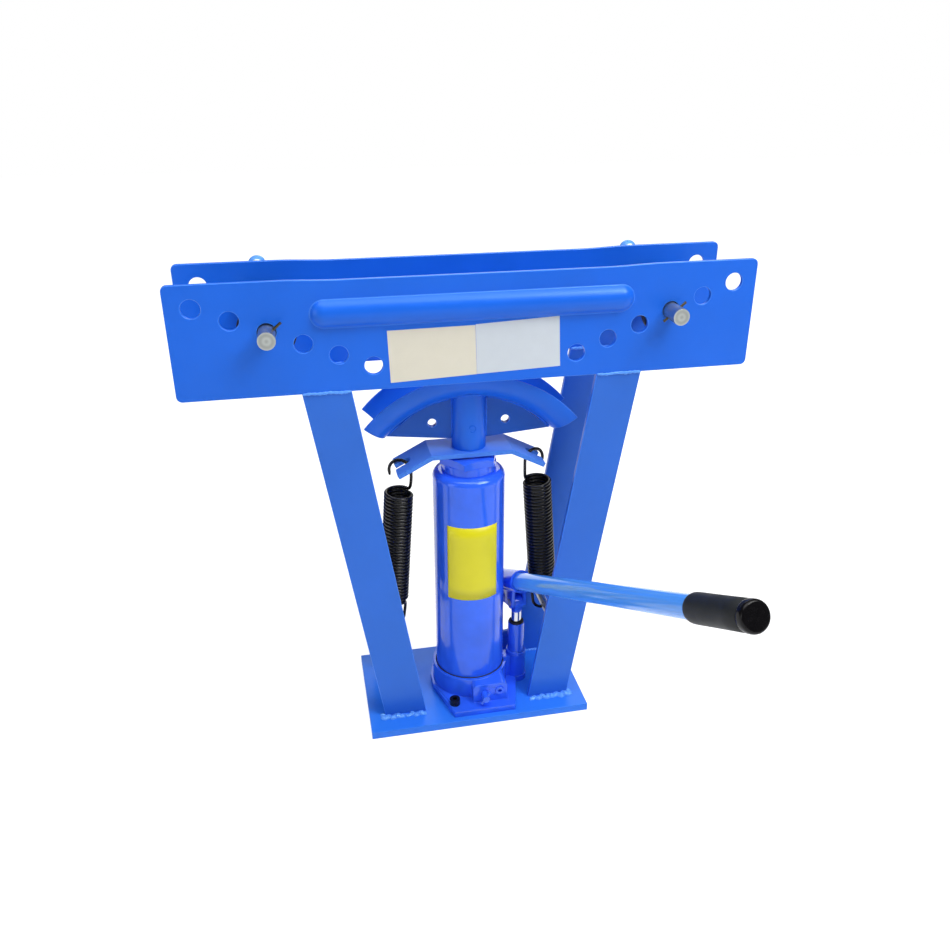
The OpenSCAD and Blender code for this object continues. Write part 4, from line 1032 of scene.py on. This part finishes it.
class BENDER_OT_lay_welds(bpy.types.Operator):
    """Lay the weld beads at the legs, the cross rods and the die"""

    bl_idname = "bender.lay_welds"
    bl_label = "Lay the welds"

    def execute(self, context):
        colours, sizes = context.scene.bender_colours, context.scene.bender_sizes
        # the seeds make the beads uneven in their own ways
        seed = 1
        beads = []
        for side in (-1, 1):
            for front in (-1, 1):
                rod = ring(corner(side, front, *ROD_END), Vector((0, 1, 0)), ROD_WELD_R * MM)
                for n, (line, width, ripple) in enumerate((
                    (foot_line(side, front), sizes.foot_bead, FOOT_RIPPLE),
                    (back_line(side, front, FOOT_X, FOOT_BACK), sizes.head_bead, RIPPLE),
                    (head_line(side, front), sizes.head_bead, HEAD_RIPPLE),
                    (back_line(side, front, HEAD_X, HEAD_BACK), sizes.head_bead, HEAD_RIPPLE),
                    (rod, sizes.die_bead, RIPPLE),
                )):
                    beads.append(bead(line, width, seed + 20 * n, ripple))
                seed += 1
        # the frame's beads get a paler copy of the coat: a painted highlight, with a low roughness for their
        # glints
        coat = powder_coat("powder_coat_painted_highlight_over_weld", colours.weld_highlight_blue, low=0.06, high=0.12)
        add_piece("frame_welds", *joined(beads), coat, "frame", "frame_paint")

        beads = []
        for front in (-1, 1):
            for side in (-1, 1):
                beads.append(bead(web_line(side, front), sizes.die_bead, seed))
                tall = [corner(side, front, *SOCKET_SIDE, z) for z in SOCKET_HEIGHTS]
                beads.append(bead(tall, sizes.die_bead, seed + 20))
                seed += 1
            beads.append(bead(crown_line(front), sizes.die_bead, seed + 60))
        # a spot weld on the socket, not quite a full ring
        axis = Vector(SPOT_AXIS).normalized()
        spot = ring(Vector(SPOT_AT) * MM, axis, SPOT_R * MM, steps=24, share=0.85)
        beads.append(bead(spot, SPOT_BEAD * MM, SPOT_SEED, SPOT_RIPPLE))
        points, faces = joined(beads)
        turn = Euler((0, 0, math.radians(DIE_TURN))).to_matrix()
        points = [turn @ p for p in points]
        dull = powder_coat("powder_coat_over_die_weld", colours.frame_blue, low=0.12, high=0.2)
        add_piece("die_welds", points, faces, dull, "die", "frame_paint")
        return {"FINISHED"}


class BENDER_OT_stick_labels(bpy.types.Operator):
    """Stick the blank labels on the front plate and the tank"""

    bl_idname = "bender.stick_labels"
    bl_label = "Stick the labels"

    def execute(self, context):
        colours, sizes = context.scene.bender_colours, context.scene.bender_sizes
        film = sizes.film_t
        # the legs are flush with the front plate
        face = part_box("front_left_leg")[0].y
        for name, base, corners in (
            ("cream_label", colours.label_cream, CREAM_CORNERS),
            ("pale_label", colours.label_grey, PALE_CORNERS),
        ):
            material = vinyl_film("blank_" + name.replace("label", "film"), base)
            piece = add_piece(name, *flat_film(corners, face, film), material, "frame", None)
            edge = piece.modifiers.new("cut_edge", "BEVEL")
            edge.width = film / 3
            edge.segments = 2
            shade = piece.modifiers.new("even_shading", "WEIGHTED_NORMAL")
            shade.weight = 100
        material = vinyl_film("blank_yellow_film", colours.label_yellow)
        add_piece("tank_label", *tank_film(film), material, "frame", None)
        return {"FINISHED"}


class BENDER_OT_mould_grip(bpy.types.Operator):
    """Mould the grip over the handle's end, and its cap"""

    bl_idname = "bender.mould_grip"
    bl_label = "Mould the grip"

    def execute(self, context):
        colours, sizes = context.scene.bender_colours, context.scene.bender_sizes
        full, end = sizes.grip_d / 2, sizes.grip_l
        axis = handle_axis()
        start = Vector(HANDLE_AT) * MM + (HANDLE_REACH * MM - end) * axis
        sleeve = [(radius * MM, height * MM) for radius, height in GRIP_MOUTH]
        sleeve += [(full - depth * MM, height * MM) for depth, height in GRIP_SLEEVE]
        sleeve += [(full - depth * MM, end - down * MM) for depth, down in GRIP_SHOULDER]
        points, faces = turned(sleeve, start, axis, GRIP_SEGMENTS, hollow=True)
        rubber = grip_rubber(colours.grip_black)
        piece = add_piece("grip", points, faces, rubber, "handle", "grip_rubber")
        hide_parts("handle_grip")
        cap = [(full - depth * MM, end - down * MM) for depth, down in CAP_EDGE]
        cap += [(radius * MM, end - down * MM) for radius, down in CAP_FACE]
        points, faces = turned(cap, start, axis, GRIP_SEGMENTS, hollow=False)
        add_piece("grip_cap", points, faces, dipped_pvc(colours.cap_black), "handle", "grip_rubber")
        return {"FINISHED"}


def studio_paper(base):
    """Pale paper that glows where it is seen: white, with the object's shadow and a painted shade round it.
    """
    made = bpy.data.materials.new("pale_studio_floor")
    made.use_nodes = True
    tree = made.node_tree
    tree.nodes.clear()
    seen = add_node(tree, "ShaderNodeLightPath").outputs
    mirrored = add_node(
        tree, "ShaderNodeMath", {0: seen["Is Camera Ray"], 1: seen["Is Glossy Ray"]}, operation="MAXIMUM"
    )
    either = add_node(
        tree, "ShaderNodeMath",
        {0: mirrored.outputs[0], 1: seen["Is Transmission Ray"]}, operation="MAXIMUM"
    )
    # the glow is painted dimmer round the object, a painted shade there, so that its shadow shows on the
    # white
    where = add_node(tree, "ShaderNodeTexCoord").outputs["Object"]
    away = add_node(tree, "ShaderNodeVectorMath", {0: where}, operation="LENGTH")
    level = add_node(
        tree, "ShaderNodeMapRange",
        {"Value": away.outputs["Value"], "From Min": 0.5, "From Max": 1.6, "To Min": 0.9, "To Max": 1.04}
    )
    lift = add_node(
        tree, "ShaderNodeMath", {0: either.outputs[0], 1: level.outputs["Result"]}, operation="MULTIPLY"
    )
    matt = add_node(tree, "ShaderNodeBsdfDiffuse", {"Color": base})
    dim = add_node(tree, "ShaderNodeBsdfDiffuse", {"Color": [0.4 * c for c in base[:3]] + [1.0]})
    paper = add_node(
        tree, "ShaderNodeMixShader", {0: either.outputs[0], 1: matt.outputs[0], 2: dim.outputs[0]}
    )
    glow = add_node(tree, "ShaderNodeEmission", {"Color": base, "Strength": lift.outputs[0]})
    both = add_node(tree, "ShaderNodeAddShader", {0: paper.outputs[0], 1: glow.outputs[0]})
    add_node(tree, "ShaderNodeOutputMaterial", {"Surface": both.outputs[0]})
    return made


def white_room(level):
    """A world that the camera sees as white and that lights the object softly from all sides."""
    made = bpy.data.worlds.new("white_room")
    made.use_nodes = True
    tree = made.node_tree
    tree.nodes.clear()
    seen = add_node(tree, "ShaderNodeLightPath").outputs
    strength = add_node(
        tree, "ShaderNodeMapRange", {"Value": seen["Is Camera Ray"], "To Min": level, "To Max": 1.0}
    )
    sky = add_node(
        tree, "ShaderNodeBackground", {"Color": (1, 1, 1, 1), "Strength": strength.outputs["Result"]}
    )
    add_node(tree, "ShaderNodeOutputWorld", {"Surface": sky.outputs[0]})
    return made


class BENDER_OT_set_stage(bpy.types.Operator):
    """Set the floor, the lamps, the room light and the camera"""

    bl_idname = "bender.set_stage"
    bl_label = "Set the stage"

    def execute(self, context):
        scene, stage = context.scene, context.scene.bender_stage
        scene.view_settings.view_transform = "Standard"
        scene.world = white_room(stage.room)

        half = 6.0
        mesh = bpy.data.meshes.new("studio_floor")
        mesh.from_pydata(
            [(-half, -half, 0), (half, -half, 0), (half, half, 0), (-half, half, 0)], [], [(0, 1, 2, 3)]
        )
        mesh.materials.append(studio_paper(stage.floor))
        floor = bpy.data.objects.new("studio_floor", mesh)
        # just under the base, so that the two don't share a plane
        floor.location.z = -0.2 * MM
        scene.collection.objects.link(floor)

        for name, watts, size, place, aim in (
            ("key_lamp", stage.key, (1.0, 1.0), (-2.1, -0.8, 0.8), (0, 0, 0.25)),
            ("fill_lamp", stage.fill, (1.0, 1.0), (1.1, -1.0, 2.0), (0, 0, 0.3)),
            ("top_lamp", stage.top, (2.2, 1.6), (-0.15, -0.35, 2.4), (0, 0, 0.2)),
            ("back_lamp", stage.back, (1.6, 0.8), (0.6, 2.2, 1.6), (0, 0, 0.3)),
        ):
            lamp = bpy.data.lights.new(name, "AREA")
            lamp.shape = "RECTANGLE"
            lamp.size, lamp.size_y = size
            lamp.energy = watts
            shown = bpy.data.objects.new(name, lamp)
            shown.location = place
            shown.rotation_euler = (Vector(aim) - Vector(place)).to_track_quat("-Z", "Y").to_euler()
            scene.collection.objects.link(shown)

        camera = bpy.data.cameras.new("photo_camera")
        camera.sensor_width = 36
        camera.lens = stage.lens
        camera.clip_start, camera.clip_end = 0.01, 100
        shown = bpy.data.objects.new("photo_camera", camera)
        shown.location = stage.camera_at
        shown.rotation_euler = stage.camera_turn
        scene.collection.objects.link(shown)
        scene.camera = shown
        return {"FINISHED"}


STEPS = (
    BENDER_OT_coat_frame,
    BENDER_OT_paint_jack,
    BENDER_OT_finish_steel,
    BENDER_OT_fit_seals,
    BENDER_OT_wind_springs,
    BENDER_OT_lay_welds,
    BENDER_OT_stick_labels,
    BENDER_OT_mould_grip,
    BENDER_OT_set_stage,
)


class BENDER_PT_sidebar(bpy.types.Panel):
    """Steps and settings of the pipe bender"""

    bl_idname = "BENDER_PT_sidebar"
    bl_label = "Pipe bender"
    bl_space_type = "VIEW_3D"
    bl_region_type = "UI"
    bl_category = "Bender"

    def draw(self, context):
        for step in STEPS:
            self.layout.operator(step.bl_idname)
        for group in (context.scene.bender_colours, context.scene.bender_sizes, context.scene.bender_stage):
            box = self.layout.box()
            for name in group.bl_rna.properties.keys():
                if name not in ("rna_type", "name"):
                    box.prop(group, name)


CLASSES = (BenderColours, BenderSizes, BenderStage, *STEPS, BENDER_PT_sidebar)


def register():
    for cls in CLASSES:
        bpy.utils.register_class(cls)
    bpy.types.Scene.bender_colours = bpy.props.PointerProperty(type=BenderColours)
    bpy.types.Scene.bender_sizes = bpy.props.PointerProperty(type=BenderSizes)
    bpy.types.Scene.bender_stage = bpy.props.PointerProperty(type=BenderStage)


def unregister():
    del bpy.types.Scene.bender_stage
    del bpy.types.Scene.bender_sizes
    del bpy.types.Scene.bender_colours
    for cls in reversed(CLASSES):
        bpy.utils.unregister_class(cls)


def main():
    register()
    bpy.ops.bender.coat_frame()
    bpy.ops.bender.paint_jack()
    bpy.ops.bender.finish_steel()
    bpy.ops.bender.fit_seals()
    bpy.ops.bender.wind_springs()
    bpy.ops.bender.lay_welds()
    bpy.ops.bender.stick_labels()
    bpy.ops.bender.mould_grip()
    bpy.ops.bender.set_stage()
    bpy.context.view_layer.update()


if __name__ == "__main__":
    main()
